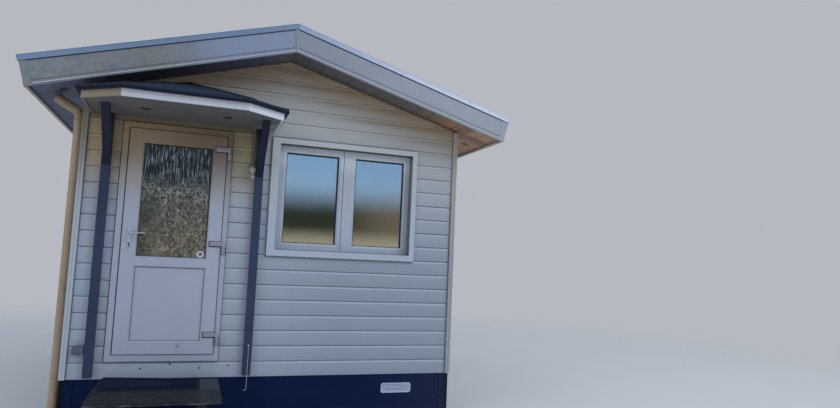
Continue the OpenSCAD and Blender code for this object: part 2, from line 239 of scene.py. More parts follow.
def frame_sweep(mb, outer, inner, prof, mi=0, sm=False, t=0.5):
    """Mitred frame. outer and inner are (x0, x1, z0, z1); prof is a closed list of
    (t, y), with t = 0 on the outer rectangle and t = 1 on the inner one."""
    rings = []
    for cx, cz in ((0, 2), (1, 2), (1, 3), (0, 3)):
        rings.append([(outer[cx] + (inner[cx] - outer[cx]) * tt, y, outer[cz] + (inner[cz] - outer[cz]) * tt) for tt, y in prof])
    sweep(mb, rings, closed=True, mi=mi, sm=sm, t=t)


def rect_sweep(mb, rect, prof, mi=0, sm=False, t=0.5):
    """Mitred frame. prof is a closed list of (inset, y) in metres."""
    rings = []
    x0, x1, z0, z1 = rect
    for sx, sz in ((0, 0), (1, 0), (1, 1), (0, 1)):
        rings.append([((x0 + d) if sx == 0 else (x1 - d), y, (z0 + d) if sz == 0 else (z1 - d)) for d, y in prof])
    sweep(mb, rings, closed=True, mi=mi, sm=sm, t=t)


def basis(d):
    d = Vector(d).normalized()
    a = Vector((0, 0, 1)) if abs(d.z) < 0.9 else Vector((1, 0, 0))
    s = d.cross(a).normalized()
    return s, s.cross(d).normalized(), d


def tube(mb, path, r, n=14, closed=False, mi=0, t=0.5, caps=True):
    """Round tube along points; r is a number or one per point."""
    pts = [Vector(p) for p in path]
    m = len(pts)
    rr = r if isinstance(r, (list, tuple)) else [r] * m
    rings = []
    up = None
    for i in range(m):
        if closed:
            d = pts[(i + 1) % m] - pts[i - 1]
        else:
            d = pts[min(i + 1, m - 1)] - pts[max(i - 1, 0)]
        d.normalize()
        if up is None:
            s, up, _ = basis(d)
        s = d.cross(up)
        if s.length < 1e-6:
            s, up, _ = basis(d)
        s.normalize()
        up = s.cross(d).normalized()
        rings.append([tuple(pts[i] + (s * math.cos(a) + up * math.sin(a)) * rr[i]) for a in (2 * math.pi * k / n for k in range(n))])
    sweep(mb, rings, closed=closed, caps=caps, mi=mi, sm=True, t=t)


def lathe(mb, prof, origin, axis, n=32, mi=0, t=0.5, sm=True):
    """Closed body of revolution: prof is a list of (radius, height along the axis);
    first and last may lie on the axis."""
    s, w, d = basis(axis)
    o = Vector(origin)
    vs, rows = [], []
    for r, h in prof:
        if r < 1e-7:
            rows.append([len(vs)])
            vs.append(tuple(o + d * h))
        else:
            rows.append(list(range(len(vs), len(vs) + n)))
            for k in range(n):
                a = 2 * math.pi * k / n
                vs.append(tuple(o + d * h + (s * math.cos(a) + w * math.sin(a)) * r))
    fs = []
    for a, b in zip(rows[:-1], rows[1:]):
        for k in range(n):
            q = (k + 1) % n
            if len(a) == 1 and len(b) == 1:
                continue
            if len(a) == 1:
                fs.append((a[0], b[q], b[k]))
            elif len(b) == 1:
                fs.append((a[k], a[q], b[0]))
            else:
                fs.append((a[k], a[q], b[q], b[k]))
    if len(rows[0]) > 1 and len(rows[-1]) > 1:
        for k in range(n):
            q = (k + 1) % n
            fs.append((rows[-1][k], rows[-1][q], rows[0][q], rows[0][k]))
    mb.add(vs, fs, mi, sm, t)


def offset_path(pts, d):
    """Offsets an open path in XY to its left by d, with mitred corners."""
    out = []
    n = len(pts)
    for i in range(n):
        if i == 0:
            a = Vector(pts[1]) - Vector(pts[0])
            nrm = Vector((-a.y, a.x)).normalized()
            out.append((pts[0][0] + nrm.x * d, pts[0][1] + nrm.y * d))
        elif i == n - 1:
            a = Vector(pts[-1]) - Vector(pts[-2])
            nrm = Vector((-a.y, a.x)).normalized()
            out.append((pts[-1][0] + nrm.x * d, pts[-1][1] + nrm.y * d))
        else:
            a = (Vector(pts[i]) - Vector(pts[i - 1])).normalized()
            b = (Vector(pts[i + 1]) - Vector(pts[i])).normalized()
            na, nb = Vector((-a.y, a.x)), Vector((-b.y, b.x))
            m = (na + nb).normalized()
            k = d / max(0.2, m.dot(na))
            out.append((pts[i][0] + m.x * k, pts[i][1] + m.y * k))
    return out


def path_sweep(mb, pts, prof, mi=0, sm=False, t=0.5):
    """prof is a closed list of (offset to the path's left, z)."""
    offs = {d: offset_path(pts, d) for d in set(p[0] for p in prof)}
    rings = [[(offs[d][i][0], offs[d][i][1], z) for d, z in prof] for i in range(len(pts))]
    sweep(mb, rings, mi=mi, sm=sm, t=t)


def cut(b, co, no):
    """Removes what lies on the side of the plane that no points to, and closes the cut."""
    g = b.verts[:] + b.edges[:] + b.faces[:]
    r = bmesh.ops.bisect_plane(b, geom=g, plane_co=co, plane_no=no, clear_outer=True, clear_inner=False, dist=1e-6)
    ed = [e for e in r["geom_cut"] if isinstance(e, bmesh.types.BMEdge)]
    if ed:
        bmesh.ops.holes_fill(b, edges=ed, sides=0)


# ------------------------------------------------------------------ materials
def lin(r, g, b):
    def f(c):
        c /= 255.0
        return c / 12.92 if c <= 0.04045 else ((c + 0.055) / 1.055) ** 2.4
    return (f(r), f(g), f(b))


class NT:
    def __init__(self, name, rough=0.5, metallic=0.0, **sockets):
        self.m = bpy.data.materials.new(name)
        self.m.use_nodes = True
        nt = self.nt = self.m.node_tree
        nt.nodes.clear()
        self.out = self.n("ShaderNodeOutputMaterial")
        self.b = self.n("ShaderNodeBsdfPrincipled")
        nt.links.new(self.b.outputs[0], self.out.inputs[0])
        self.b.inputs["Roughness"].default_value = rough
        self.b.inputs["Metallic"].default_value = metallic
        for k, v in sockets.items():
            self.b.inputs[k.replace("_", " ")].default_value = v
        self.tc = self.n("ShaderNodeTexCoord").outputs["Object"]

    def n(self, t, **kw):
        x = self.nt.nodes.new(t)
        for k, v in kw.items():
            setattr(x, k, v)
        return x

    def put(self, sock, v):
        if isinstance(v, bpy.types.NodeSocket):
            self.nt.links.new(v, sock)
        else:
            sock.default_value = v

    def map(self, s=(1, 1, 1), l=(0, 0, 0), r=(0, 0, 0), v=None):
        x = self.n("ShaderNodeMapping")
        self.nt.links.new(v or self.tc, x.inputs["Vector"])
        x.inputs["Scale"].default_value = s
        x.inputs["Location"].default_value = l
        x.inputs["Rotation"].default_value = r
        return x.outputs[0]

    def noise(self, scale, detail=4.0, rough=0.55, v=None, dist=0.0):
        x = self.n("ShaderNodeTexNoise")
        self.nt.links.new(v or self.tc, x.inputs["Vector"])
        x.inputs["Scale"].default_value = scale
        x.inputs["Detail"].default_value = detail
        x.inputs["Roughness"].default_value = rough
        x.inputs["Distortion"].default_value = dist
        return x.outputs["Fac"]

    def voro(self, scale, feature="F1", v=None, out="Distance", rand=1.0):
        x = self.n("ShaderNodeTexVoronoi", feature=feature)
        self.nt.links.new(v or self.tc, x.inputs["Vector"])
        x.inputs["Scale"].default_value = scale
        x.inputs["Randomness"].default_value = rand
        return x.outputs[out]

    def math(self, op, a, b=0.0, c=0.0, clamp=False):
        x = self.n("ShaderNodeMath", operation=op, use_clamp=clamp)
        self.put(x.inputs[0], a)
        self.put(x.inputs[1], b)
        self.put(x.inputs[2], c)
        return x.outputs[0]

    def sep(self, v=None):
        x = self.n("ShaderNodeSeparateXYZ")
        self.nt.links.new(v or self.tc, x.inputs[0])
        return x.outputs

    def range(self, v, a, b, c=0.0, d=1.0, smooth=False):
        x = self.n("ShaderNodeMapRange", interpolation_type="SMOOTHSTEP" if smooth else "LINEAR")
        x.clamp = True
        self.put(x.inputs["Value"], v)
        x.inputs["From Min"].default_value = a
        x.inputs["From Max"].default_value = b
        x.inputs["To Min"].default_value = c
        x.inputs["To Max"].default_value = d
        return x.outputs[0]

    def mix(self, f, a, b, mode="MIX"):
        x = self.n("ShaderNodeMix", data_type="RGBA", blend_type=mode)
        self.put(x.inputs[0], f)
        for i, c in ((6, a), (7, b)):
            if isinstance(c, bpy.types.NodeSocket):
                self.nt.links.new(c, x.inputs[i])
            else:
                x.inputs[i].default_value = (c[0], c[1], c[2], 1.0)
        return x.outputs[2]

    def ramp(self, f, stops):
        x = self.n("ShaderNodeValToRGB")
        self.nt.links.new(f, x.inputs[0])
        cr = x.color_ramp
        while len(cr.elements) < len(stops):
            cr.elements.new(0.5)
        for e, (p, c) in zip(cr.elements, stops):
            e.position = p
            e.color = (c[0], c[1], c[2], 1.0)
        return x.outputs[0]

    def attr(self, name="tint"):
        return self.n("ShaderNodeAttribute", attribute_name=name).outputs["Fac"]

    def bump(self, h, strength=0.3, dist=0.001, normal=None):
        x = self.n("ShaderNodeBump")
        self.nt.links.new(h, x.inputs["Height"])
        x.inputs["Strength"].default_value = strength
        x.inputs["Distance"].default_value = dist
        if normal is not None:
            self.nt.links.new(normal, x.inputs["Normal"])
        return x.outputs[0]

    def color(self, c):
        self.nt.links.new(c, self.b.inputs["Base Color"])

    def roughness(self, c):
        self.nt.links.new(c, self.b.inputs["Roughness"])

    def normal(self, c):
        self.nt.links.new(c, self.b.inputs["Normal"])


def mul(c, k):
    return tuple(min(1.0, v * k) for v in c)


def vary(M, base, scale=2.5, amount=0.06, fine=0.03, tint=0.0, v=None):
    """Base colour with slow and fine changes, and a change from board to board."""
    a = M.noise(scale, 5.0, 0.6, v)
    c = M.mix(M.range(a, 0.3, 0.7), mul(base, 1 - amount), mul(base, 1 + amount))
    if fine:
        f = M.noise(scale * 34, 3.0, 0.6, v)
        c = M.mix(M.range(f, 0.25, 0.75), M.mix(1.0, c, (1 - fine,) * 3, "MULTIPLY"), M.mix(1.0, c, (1 + fine,) * 3, "MULTIPLY"))
    if tint:
        t = M.attr()
        k = M.n("ShaderNodeCombineColor")
        g = M.range(t, 0.0, 1.0, 1 - tint, 1 + tint)
        for i in range(3):
            M.nt.links.new(g, k.inputs[i])
        c = M.mix(1.0, c, k.outputs[0], "MULTIPLY")
    return c


def painted_eave_shade(M, c, base, amount=1.0, soffit=1.0, canopy=1.0, lift=1.0):
    """Painted warm bounce light, yellower with height, and painted brown shade just under
    the roof and under the canopy, darkest just below the canopy's soffit."""
    x, y, z = M.sep()
    # painted warm bounce light: yellower with height
    up = M.range(z, 1.7, 3.3, 0.0, 0.85 * amount, True)
    c = M.mix(up, c, (base[0] * 1.26, base[1] * 1.09, base[2] * 0.87))
    dist = M.math("SUBTRACT", M.math("MULTIPLY", M.math("SUBTRACT", APEX, z), CP), M.math("MULTIPLY", M.math("ABSOLUTE", x), SP))
    if soffit:
        # painted brown shade just under the roof's soffit
        painted_soffit_shade = M.range(dist, 0.0, 0.36, 0.92 * soffit, 0.0, True)
        c = M.mix(painted_soffit_shade, c, (base[0] * 1.00, base[1] * 0.645, base[2] * 0.36))
    if canopy:
        # painted shade under the canopy on the front wall
        k = M.math("MULTIPLY", M.range(z, 1.90, 2.58, 0.0, 0.90 * canopy, True), M.range(z, 2.80, 2.84, 1.0, 0.0))
        k = M.math("MULTIPLY", k, M.range(x, -0.27, -0.19, 1.0, 0.0, True))
        k = M.math("MULTIPLY", k, M.range(y, YF + 0.06, YF + 0.10, 1.0, 0.0))
        canopy_shade_colour = M.mix(M.range(x, -1.35, -0.70, 0.0, 1.0, True), (base[0] * 0.86 * lift, base[1] * 0.54 * lift, base[2] * 0.22 * lift), (base[0] * 0.53, base[1] * 0.315, base[2] * 0.124) if lift == 1.0 else (base[0] * 0.90, base[1] * 0.64, base[2] * 0.285))
        c = M.mix(k, c, canopy_shade_colour)
        # painted contact shadow just below the canopy's soffit
        close = M.math("MULTIPLY", M.range(z, 2.722, 2.748, 0.0, 0.72, True), k)
        c = M.mix(close, c, (base[0] * 0.165, base[1] * 0.125, base[2] * 0.085))
    return c


def m_cladding():
    M = NT("cladding_paint", rough=0.55)
    x, y, z = M.sep()
    base = (0.405, 0.462, 0.545)
    c = vary(M, base, 1.7, 0.04, 0.02, tint=0.03)
    # painted shade: the lower right is darker, evening out the key light that falls there
    c = M.mix(M.math("MULTIPLY", M.range(x, -0.6, 0.7, 0.0, 0.80, True), M.range(z, 2.5, 1.5, 0.0, 1.0, True)), c, (base[0] * 0.71, base[1] * 0.735, base[2] * 0.755))
    # runs of dirt down the boards
    streak = M.noise(1.0, 6.0, 0.62, M.map((16.0, 16.0, 0.9)))
    c = M.mix(M.range(streak, 0.52, 0.8, 0.0, 0.14), c, mul(base, 0.62))
    # long faint brush and grain lines
    lines = M.noise(1.0, 4.0, 0.65, M.map((0.9, 0.9, 150.0)), 0.2)
    c = M.mix(M.range(lines, 0.50, 0.72, 0.0, 0.22), c, mul(base, 0.80))
    c = M.mix(M.range(lines, 0.46, 0.28, 0.0, 0.20), c, mul(base, 1.12))
    f = M.math("FRACT", M.math("DIVIDE", M.math("SUBTRACT", z, Z0), STRIP))
    # painted highlight: the sloping top of each strip is lighter
    lip = M.math("MULTIPLY", M.range(f, 0.805, 0.850, 0.0, 1.0, True), M.range(f, 0.930, 0.960, 1.0, 0.0, True))
    c = M.mix(M.math("MULTIPLY", lip, 0.80), c, mul(base, 1.13))
    # painted shade: a dark line where each face turns into its sloping top, stronger higher up
    crease_shade = M.math("MULTIPLY", M.range(f, 0.775, 0.795, 0.0, 1.0), M.range(f, 0.800, 0.815, 1.0, 0.0))
    c = M.mix(M.math("MULTIPLY", crease_shade, M.range(z, 2.3, 2.7, 0.20, 0.55, True)), c, mul(base, 0.50))
    # painted shade in the joint under each board's edge, together with dirt
    joint_shade_and_dirt = M.math("MULTIPLY", M.range(f, 0.935, 0.965, 0.0, 1.0, True), M.range(M.noise(5.0, 5.0, 0.7), 0.3, 0.7, 0.75, 1.0))
    c = M.mix(M.math("MULTIPLY", joint_shade_and_dirt, M.range(z, 1.2, 2.6, 0.45, 0.65)), c, (0.12, 0.135, 0.155))
    # painted shade along the bottom of each strip
    edge = M.range(f, 0.0, 0.035, 0.35, 0.0, True)
    c = M.mix(edge, c, mul(base, 0.72))
    # painted warm light and painted shade under the roof and the canopy
    c = painted_eave_shade(M, c, base, lift=1.32)
    # painted warm bounce light in runs along the joints near the roof
    dist = M.math("SUBTRACT", M.math("MULTIPLY", M.math("SUBTRACT", APEX, z), CP), M.math("MULTIPLY", M.math("ABSOLUTE", x), SP))
    painted_warm_glow = M.math("MULTIPLY", M.range(f, 0.40, 0.78, 0.15, 1.0, True), M.range(f, 0.800, 0.825, 1.0, 0.1))
    painted_warm_glow = M.math("MULTIPLY", painted_warm_glow, M.range(M.noise(1.0, 5.0, 0.65, M.map((1.6, 1.6, 9.0))), 0.42, 0.58, 0.15, 0.80))
    painted_warm_glow = M.math("MULTIPLY", painted_warm_glow, M.range(dist, 0.08, 0.50, 1.0, 0.0, True))
    c = M.mix(M.math("MULTIPLY", painted_warm_glow, M.range(y, YF + 0.10, YF + 0.20, 1.0, 0.25)), c, (0.385, 0.250, 0.135))
    # painted highlight: the sloping tops are paler and warmer higher up
    c = M.mix(M.math("MULTIPLY", lip, M.range(z, 2.30, 2.60, 0.0, 0.78, True)), c, (0.585, 0.560, 0.500))
    # crack in the lowest strip
    wob = M.math("ADD", x, M.math("MULTIPLY", M.noise(30.0, 3.0), 0.010))
    crack = M.math("MULTIPLY", M.range(M.math("ABSOLUTE", M.math("SUBTRACT", wob, 1.387)), 0.0008, 0.0020, 1.0, 0.0), M.range(z, 0.583, 0.590, 1.0, 0.0))
    crack = M.math("MULTIPLY", crack, M.range(y, YF + 0.02, YF + 0.03, 1.0, 0.0))
    c = M.mix(M.math("MULTIPLY", crack, 0.55), c, (0.10, 0.10, 0.11))
    g = M.noise(1.0, 5.0, 0.6, M.map((3.0, 3.0, 95.0)), 0.4)
    h = M.math("ADD", M.math("MULTIPLY", g, 0.7), M.math("MULTIPLY", M.noise(260.0, 2.0), 0.3))
    h = M.math("SUBTRACT", h, M.math("MULTIPLY", crack, 1.5))
    M.color(c)
    M.roughness(M.range(M.noise(9.0, 4.0), 0.3, 0.7, 0.48, 0.62))
    M.normal(M.bump(h, 0.35, 0.0008))
    return M.m


def m_white(name, base, rough=0.42, bump=0.2, grain=None, dirt=0.10, painted_warm_light=0.0, soffit=0.0, canopy=0.0, left=0.0, spec=0.5, top=0.0):
    M = NT(name, rough=rough)
    M.b.inputs["Specular IOR Level"].default_value = spec
    x, y, z = M.sep()
    c = vary(M, base, 2.2, 0.03, 0.015, tint=0.02)
    d = M.noise(7.0, 6.0, 0.65, M.map((1.0, 1.0, 0.35)))
    c = M.mix(M.range(d, 0.55, 0.85, 0.0, dirt * 2), c, mul(base, 0.55))
    s = M.noise(1.0, 5.0, 0.7, M.map((45.0, 45.0, 3.0)))
    c = M.mix(M.range(s, 0.56, 0.78, 0.0, dirt), c, (base[0] * 0.62, base[1] * 0.58, base[2] * 0.50))
    # painted warm light and painted shade under the roof and the canopy
    if painted_warm_light or soffit or canopy:
        c = painted_eave_shade(M, c, base, painted_warm_light, soffit, canopy)
    # painted shade: darker and bluer towards the left
    if left:
        c = M.mix(M.range(x, 0.3, -1.9, 0.0, left, True), c, (base[0] * 0.62, base[1] * 0.68, base[2] * 0.80))
    # painted highlight: lighter at the head
    if top:
        c = M.mix(M.range(z, 2.38, 2.62, 0.0, top, True), c, (min(1.0, base[0] * 1.62), min(1.0, base[1] * 1.56), min(1.0, base[2] * 1.46)))
    M.color(c)
    M.roughness(M.range(M.noise(14.0, 4.0), 0.3, 0.7, rough - 0.06, rough + 0.08))
    h = M.noise(1.0, 4.0, 0.55, M.map(grain)) if grain else M.noise(180.0, 2.0)
    M.normal(M.bump(h, bump, 0.0005))
    return M.m


def m_navy(name, base, rough=0.42, grain=(60.0, 60.0, 2.5), splash=0.0, spec=0.5, worn=0.0):
    M = NT(name, rough=rough)
    M.b.inputs["Specular IOR Level"].default_value = spec
    x, y, z = M.sep()
    c = vary(M, base, 3.0, 0.16, 0.05, tint=0.08)
    g = M.noise(1.0, 5.0, 0.6, M.map(grain), 0.6)
    c = M.mix(M.range(g, 0.52, 0.78, 0.0, 0.35), c, mul(base, 0.58))
    if worn:
        w = M.noise(1.0, 6.0, 0.7, M.map((9.0, 9.0, 1.2)))
        c = M.mix(M.range(w, 0.52, 0.75, 0.0, worn), c, (base[0] * 2.2 + 0.01, base[1] * 2.0 + 0.01, base[2] * 1.6 + 0.01))
    if splash:
        c = M.mix(M.range(x, 0.9, 1.7, 0.0, 0.8, True), c, (base[0] + 0.0125, base[1] + 0.0115, base[2] + 0.006))
        s = M.math("MULTIPLY", M.range(z, 0.0, 0.18, 1.0, 0.0, True), M.range(M.noise(22.0, 6.0, 0.7), 0.42, 0.72))
        c = M.mix(M.math("MULTIPLY", s, splash), c, (0.10, 0.088, 0.070))
    M.color(c)
    M.roughness(M.range(M.noise(11.0, 5.0), 0.3, 0.7, rough - 0.08, rough + 0.10))
    M.normal(M.bump(M.math("ADD", g, M.math("MULTIPLY", M.noise(240.0, 2.0), 0.25)), 0.35, 0.0009))
    return M.m


def m_felt(name, base, grit=0.5, rough=0.85, spec=0.3):
    M = NT(name, rough=rough)
    M.b.inputs["Specular IOR Level"].default_value = spec
    v = M.voro(520.0, out="Color")
    sp = M.n("ShaderNodeSeparateColor")
    M.nt.links.new(v, sp.inputs[0])
    c = vary(M, base, 1.3, 0.16, 0.08, tint=0.08)
    c = M.mix(M.range(sp.outputs[0], 0.0, 1.0, 0.0, grit), c, mul(base, 2.0))
    c = M.mix(M.range(M.noise(3.0, 7.0, 0.7), 0.56, 0.75, 0.0, 0.35), c, mul(base, 0.55))
    # grey-green bloom in the low spots
    moss = M.noise(6.5, 7.0, 0.75)
    c = M.mix(M.range(moss, 0.60, 0.80, 0.0, 0.35), c, (base[0] * 1.5, base[1] * 1.7, base[2] * 1.1))
    M.color(c)
    h = M.math("ADD", M.math("MULTIPLY", M.voro(420.0), 0.6), M.math("MULTIPLY", M.noise(35.0, 4.0), 0.7))
    M.normal(M.bump(h, 0.55, 0.0016))
    return M.m


def m_metal(name, base, rough=0.34, metallic=0.9, brushed=(3.0, 3.0, 220.0), dirt=0.12, bump=0.12, spread=0.10):
    M = NT(name, rough=rough, metallic=metallic)
    c = vary(M, base, 3.0, 0.06, 0.03)
    c = M.mix(M.range(M.noise(9.0, 6.0, 0.7), 0.5, 0.8, 0.0, dirt * 2), c, mul(base, 0.55))
    M.color(c)
    M.roughness(M.range(M.noise(30.0, 5.0), 0.25, 0.75, rough - spread * 0.7, rough + spread))
    M.normal(M.bump(M.noise(1.0, 3.0, 0.5, M.map(brushed)), bump, 0.0003))
    return M.m


def m_plastic(name, base, rough=0.45, amount=0.05, bump=0.15, dirt=0.15, scale=6.0, spec=0.5):
    M = NT(name, rough=rough)
    M.b.inputs["Specular IOR Level"].default_value = spec
    c = vary(M, base, scale, amount, 0.02)
    c = M.mix(M.range(M.noise(scale * 3, 6.0, 0.7), 0.55, 0.85, 0.0, dirt * 2), c, mul(base, 0.5))
    M.color(c)
    M.roughness(M.range(M.noise(40.0, 3.0), 0.3, 0.7, rough - 0.05, rough + 0.1))
    M.normal(M.bump(M.noise(600.0, 2.0), bump, 0.0004))
    return M.m


def m_soffit():
    """Satin panels, greyer at the ridge, with painted warm bounce light towards the right
    eaves and painted blue shade, darker, on the left slope."""
    M = NT("soffit_pvc", rough=0.5)
    x, y, z = M.sep()
    c = vary(M, (0.164, 0.159, 0.154), 2.0, 0.10, 0.03, tint=0.10)
    # painted warm bounce light towards the right eaves
    c = M.mix(M.range(x, 1.15, 1.95, 0.0, 0.94, True), c, (0.520, 0.275, 0.130))
    c = M.mix(M.range(x, 1.0, -0.1, 0.0, 0.70, True), c, (0.128, 0.142, 0.168))
    # painted blue shade on the left slope
    c = M.mix(M.range(x, 0.05, -0.45, 0.0, 0.90, True), c, (0.078, 0.112, 0.215))
    blot = M.noise(5.0, 6.0, 0.7)
    c = M.mix(M.range(blot, 0.52, 0.80, 0.0, 0.45), c, M.mix(M.range(x, -0.3, 0.3), (0.040, 0.046, 0.066), (0.090, 0.070, 0.056)))
    # painted shade in the corners against the walls
    wall = M.range(M.math("MINIMUM", M.math("ABSOLUTE", M.math("SUBTRACT", y, YF)), M.math("ABSOLUTE", M.math("SUBTRACT", y, YF + DEPTH))), 0.035, 0.14, 0.55, 0.0, True)
    side = M.range(M.math("ABSOLUTE", M.math("SUBTRACT", x, 0.016)), 1.80, 1.90, 0.55, 0.0, True)
    wall = M.math("MAXIMUM", wall, M.math("MULTIPLY", side, M.range(M.math("ABSOLUTE", x), 1.72, 1.76)))
    wall = M.math("MULTIPLY", wall, M.range(x, -0.4, 0.4, 0.4, 1.0))
    c = M.mix(wall, c, (0.075, 0.050, 0.034))
    M.color(c)
    M.roughness(M.range(M.noise(12.0, 3.0), 0.3, 0.7, 0.42, 0.60))
    M.normal(M.bump(M.noise(160.0, 2.0), 0.15, 0.0004))
    return M.m


def m_canopy_white(name, base):
    """White boards of the canopy, with painted light by facet: warm painted shade on the left, lighter on the right."""
    M = NT(name, rough=0.42)
    c = vary(M, base, 2.2, 0.03, 0.015)
    f = M.attr()
    # painted warm shade on the left side and facet, painted light on the right facet and side
    c = M.mix(M.range(f, 0.30, 0.45, 1.0, 0.0), c, (base[0] * 0.46, base[1] * 0.375, base[2] * 0.225))
    c = M.mix(M.range(f, 0.55, 0.60, 0.0, 1.0), c, (min(1.0, base[0] * 1.34), min(1.0, base[1] * 1.34), min(1.0, base[2] * 1.34)))
    d = M.noise(7.0, 6.0, 0.65, M.map((1.0, 1.0, 0.35)))
    c = M.mix(M.range(d, 0.55, 0.85, 0.0, 0.25), c, mul(base, 0.55))
    M.color(c)
    M.roughness(M.range(M.noise(14.0, 4.0), 0.3, 0.7, 0.36, 0.50))
    M.normal(M.bump(M.noise(1.0, 4.0, 0.55, M.map((2.0, 2.0, 60.0))), 0.15, 0.0005))
    return M.m


def m_can_soffit():
    M = NT("canopy_soffit", rough=0.5)
    x, y, z = M.sep()
    c = vary(M, (0.155, 0.158, 0.160), 3.0, 0.08, 0.02, tint=0.05)
    # painted light: lighter beyond a slanting line at the right end
    c = M.mix(M.range(M.math("ADD", x, M.math("MULTIPLY", M.math("ADD", y, -YF), 0.55)), -0.335, -0.325, 0.0, 0.85), c, (0.330, 0.350, 0.385))
    c = M.mix(M.range(M.noise(9.0, 6.0, 0.7), 0.55, 0.85, 0.0, 0.4), c, (0.05, 0.048, 0.045))
    M.color(c)
    M.roughness(M.range(M.noise(40.0, 3.0), 0.3, 0.7, 0.45, 0.6))
    M.normal(M.bump(M.noise(600.0, 2.0), 0.2, 0.0004))
    return M.m


def m_roof_metal():
    M = NT("roof_trim_alu", rough=0.42, metallic=0.40)
    x, y, z = M.sep()
    base = (0.60, 0.655, 0.78)
    c = vary(M, base, 3.0, 0.06, 0.03, tint=0.04)
    # painted shade: darker and bluer towards the left slope
    c = M.mix(M.range(x, 1.5, 0.0, 0.0, 0.85, True), c, (0.340, 0.425, 0.590))
    c = M.mix(M.math("MULTIPLY", M.range(x, 0.02, -0.02), M.range(y, YF - 0.36, YF + 0.60, 1.0, 0.35, True)), c, (0.225, 0.305, 0.460))
    c = M.mix(M.range(M.noise(9.0, 6.0, 0.7), 0.5, 0.8, 0.0, 0.40), c, mul(base, 0.55))
    c = M.mix(M.range(M.noise(1.0, 5.0, 0.7, M.map((60.0, 60.0, 6.0))), 0.56, 0.78, 0.0, 0.3), c, (0.24, 0.25, 0.26))
    M.color(c)
    M.roughness(M.range(M.noise(30.0, 5.0), 0.25, 0.75, 0.36, 0.50))
    M.normal(M.bump(M.noise(3.0, 3.0), 0.02, 0.0003))
    return M.m


def m_fascia():
    """Boards of the roof's edge: painted shade, darker and colder, on the left slope; darker and bluer near the ridge.
    """
    M = NT("fascia_pvc", rough=0.40)
    M.b.inputs["Specular IOR Level"].default_value = 0.35
    x, y, z = M.sep()
    base = (0.375, 0.415, 0.475)
    c = vary(M, base, 2.2, 0.03, 0.015, tint=0.03)
    # painted shade: darker and colder towards the left slope
    c = M.mix(M.range(x, 1.5, 0.1, 0.0, 0.85, True), c, (base[0] * 0.77, base[1] * 0.755, base[2] * 0.79))
    c = M.mix(M.math("MULTIPLY", M.range(x, 0.01, -0.02), M.range(y, YF - 0.36, YF + 0.60, 1.0, 0.35, True)), c, (base[0] * 0.74, base[1] * 0.80, base[2] * 0.97))
    mott = M.noise(26.0, 6.0, 0.75)
    st = M.math("MULTIPLY", M.range(x, -0.62, -1.15, 0.0, 1.0, True), M.range(y, YF - 0.30, YF + 0.05, 1.0, 0.35, True))
    st = M.math("MULTIPLY", st, M.range(mott, 0.38, 0.60, 0.45, 0.90))
    c = M.mix(st, c, M.mix(M.range(M.noise(9.0, 5.0, 0.7), 0.40, 0.62), (0.185, 0.205, 0.195), (0.245, 0.235, 0.185)))
    d = M.noise(7.0, 6.0, 0.65, M.map((1.0, 1.0, 0.35)))
    c = M.mix(M.range(d, 0.55, 0.85, 0.0, 0.30), c, mul(base, 0.55))
    s = M.noise(1.0, 5.0, 0.7, M.map((45.0, 45.0, 3.0)))
    c = M.mix(M.range(s, 0.56, 0.78, 0.0, 0.18), c, (base[0] * 0.62, base[1] * 0.58, base[2] * 0.50))
    M.color(c)
    M.roughness(M.range(M.noise(14.0, 4.0), 0.3, 0.7, 0.34, 0.48))
    M.normal(M.bump(M.noise(180.0, 2.0), 0.10, 0.0005))
    return M.m


def m_corner(name, base):
    """Trim boards at the corners, with painted light: warm on the right, painted cold light on the left with warm
    painted shade high up, and bluer low down.
    """
    M = NT(name, rough=0.45)
    x, y, z = M.sep()
    c = vary(M, base, 2.2, 0.03, 0.015, tint=0.02)
    # painted light: bluer low down, bluer and lighter on the left, and warm painted shade high up on the left
    c = M.mix(M.range(z, 2.3, 1.3, 0.0, 0.8, True), c, (base[0] * 0.84, base[1] * 0.95, base[2] * 1.15))
    c = M.mix(M.range(x, -0.5, 0.5, 1.0, 0.0, True), c, (base[0] * 1.10, base[1] * 1.30, base[2] * 1.55))
    c = M.mix(M.math("MULTIPLY", M.range(z, 1.9, 2.7, 0.0, 0.85, True), M.range(x, -0.5, 0.5, 1.0, 0.0, True)), c, (base[0] * 0.62, base[1] * 0.50, base[2] * 0.34))
    d = M.noise(7.0, 6.0, 0.65, M.map((1.0, 1.0, 0.35)))
    c = M.mix(M.range(d, 0.55, 0.85, 0.0, 0.3), c, mul(base, 0.5))
    s = M.noise(1.0, 5.0, 0.7, M.map((45.0, 45.0, 3.0)))
    c = M.mix(M.range(s, 0.56, 0.78, 0.0, 0.15), c, (base[0] * 0.62, base[1] * 0.58, base[2] * 0.50))
    M.color(c)
    M.roughness(M.range(M.noise(14.0, 4.0), 0.3, 0.7, 0.40, 0.53))
    M.normal(M.bump(M.noise(1.0, 4.0, 0.55, M.map((60.0, 60.0, 2.0))), 0.25, 0.0005))
    return M.m


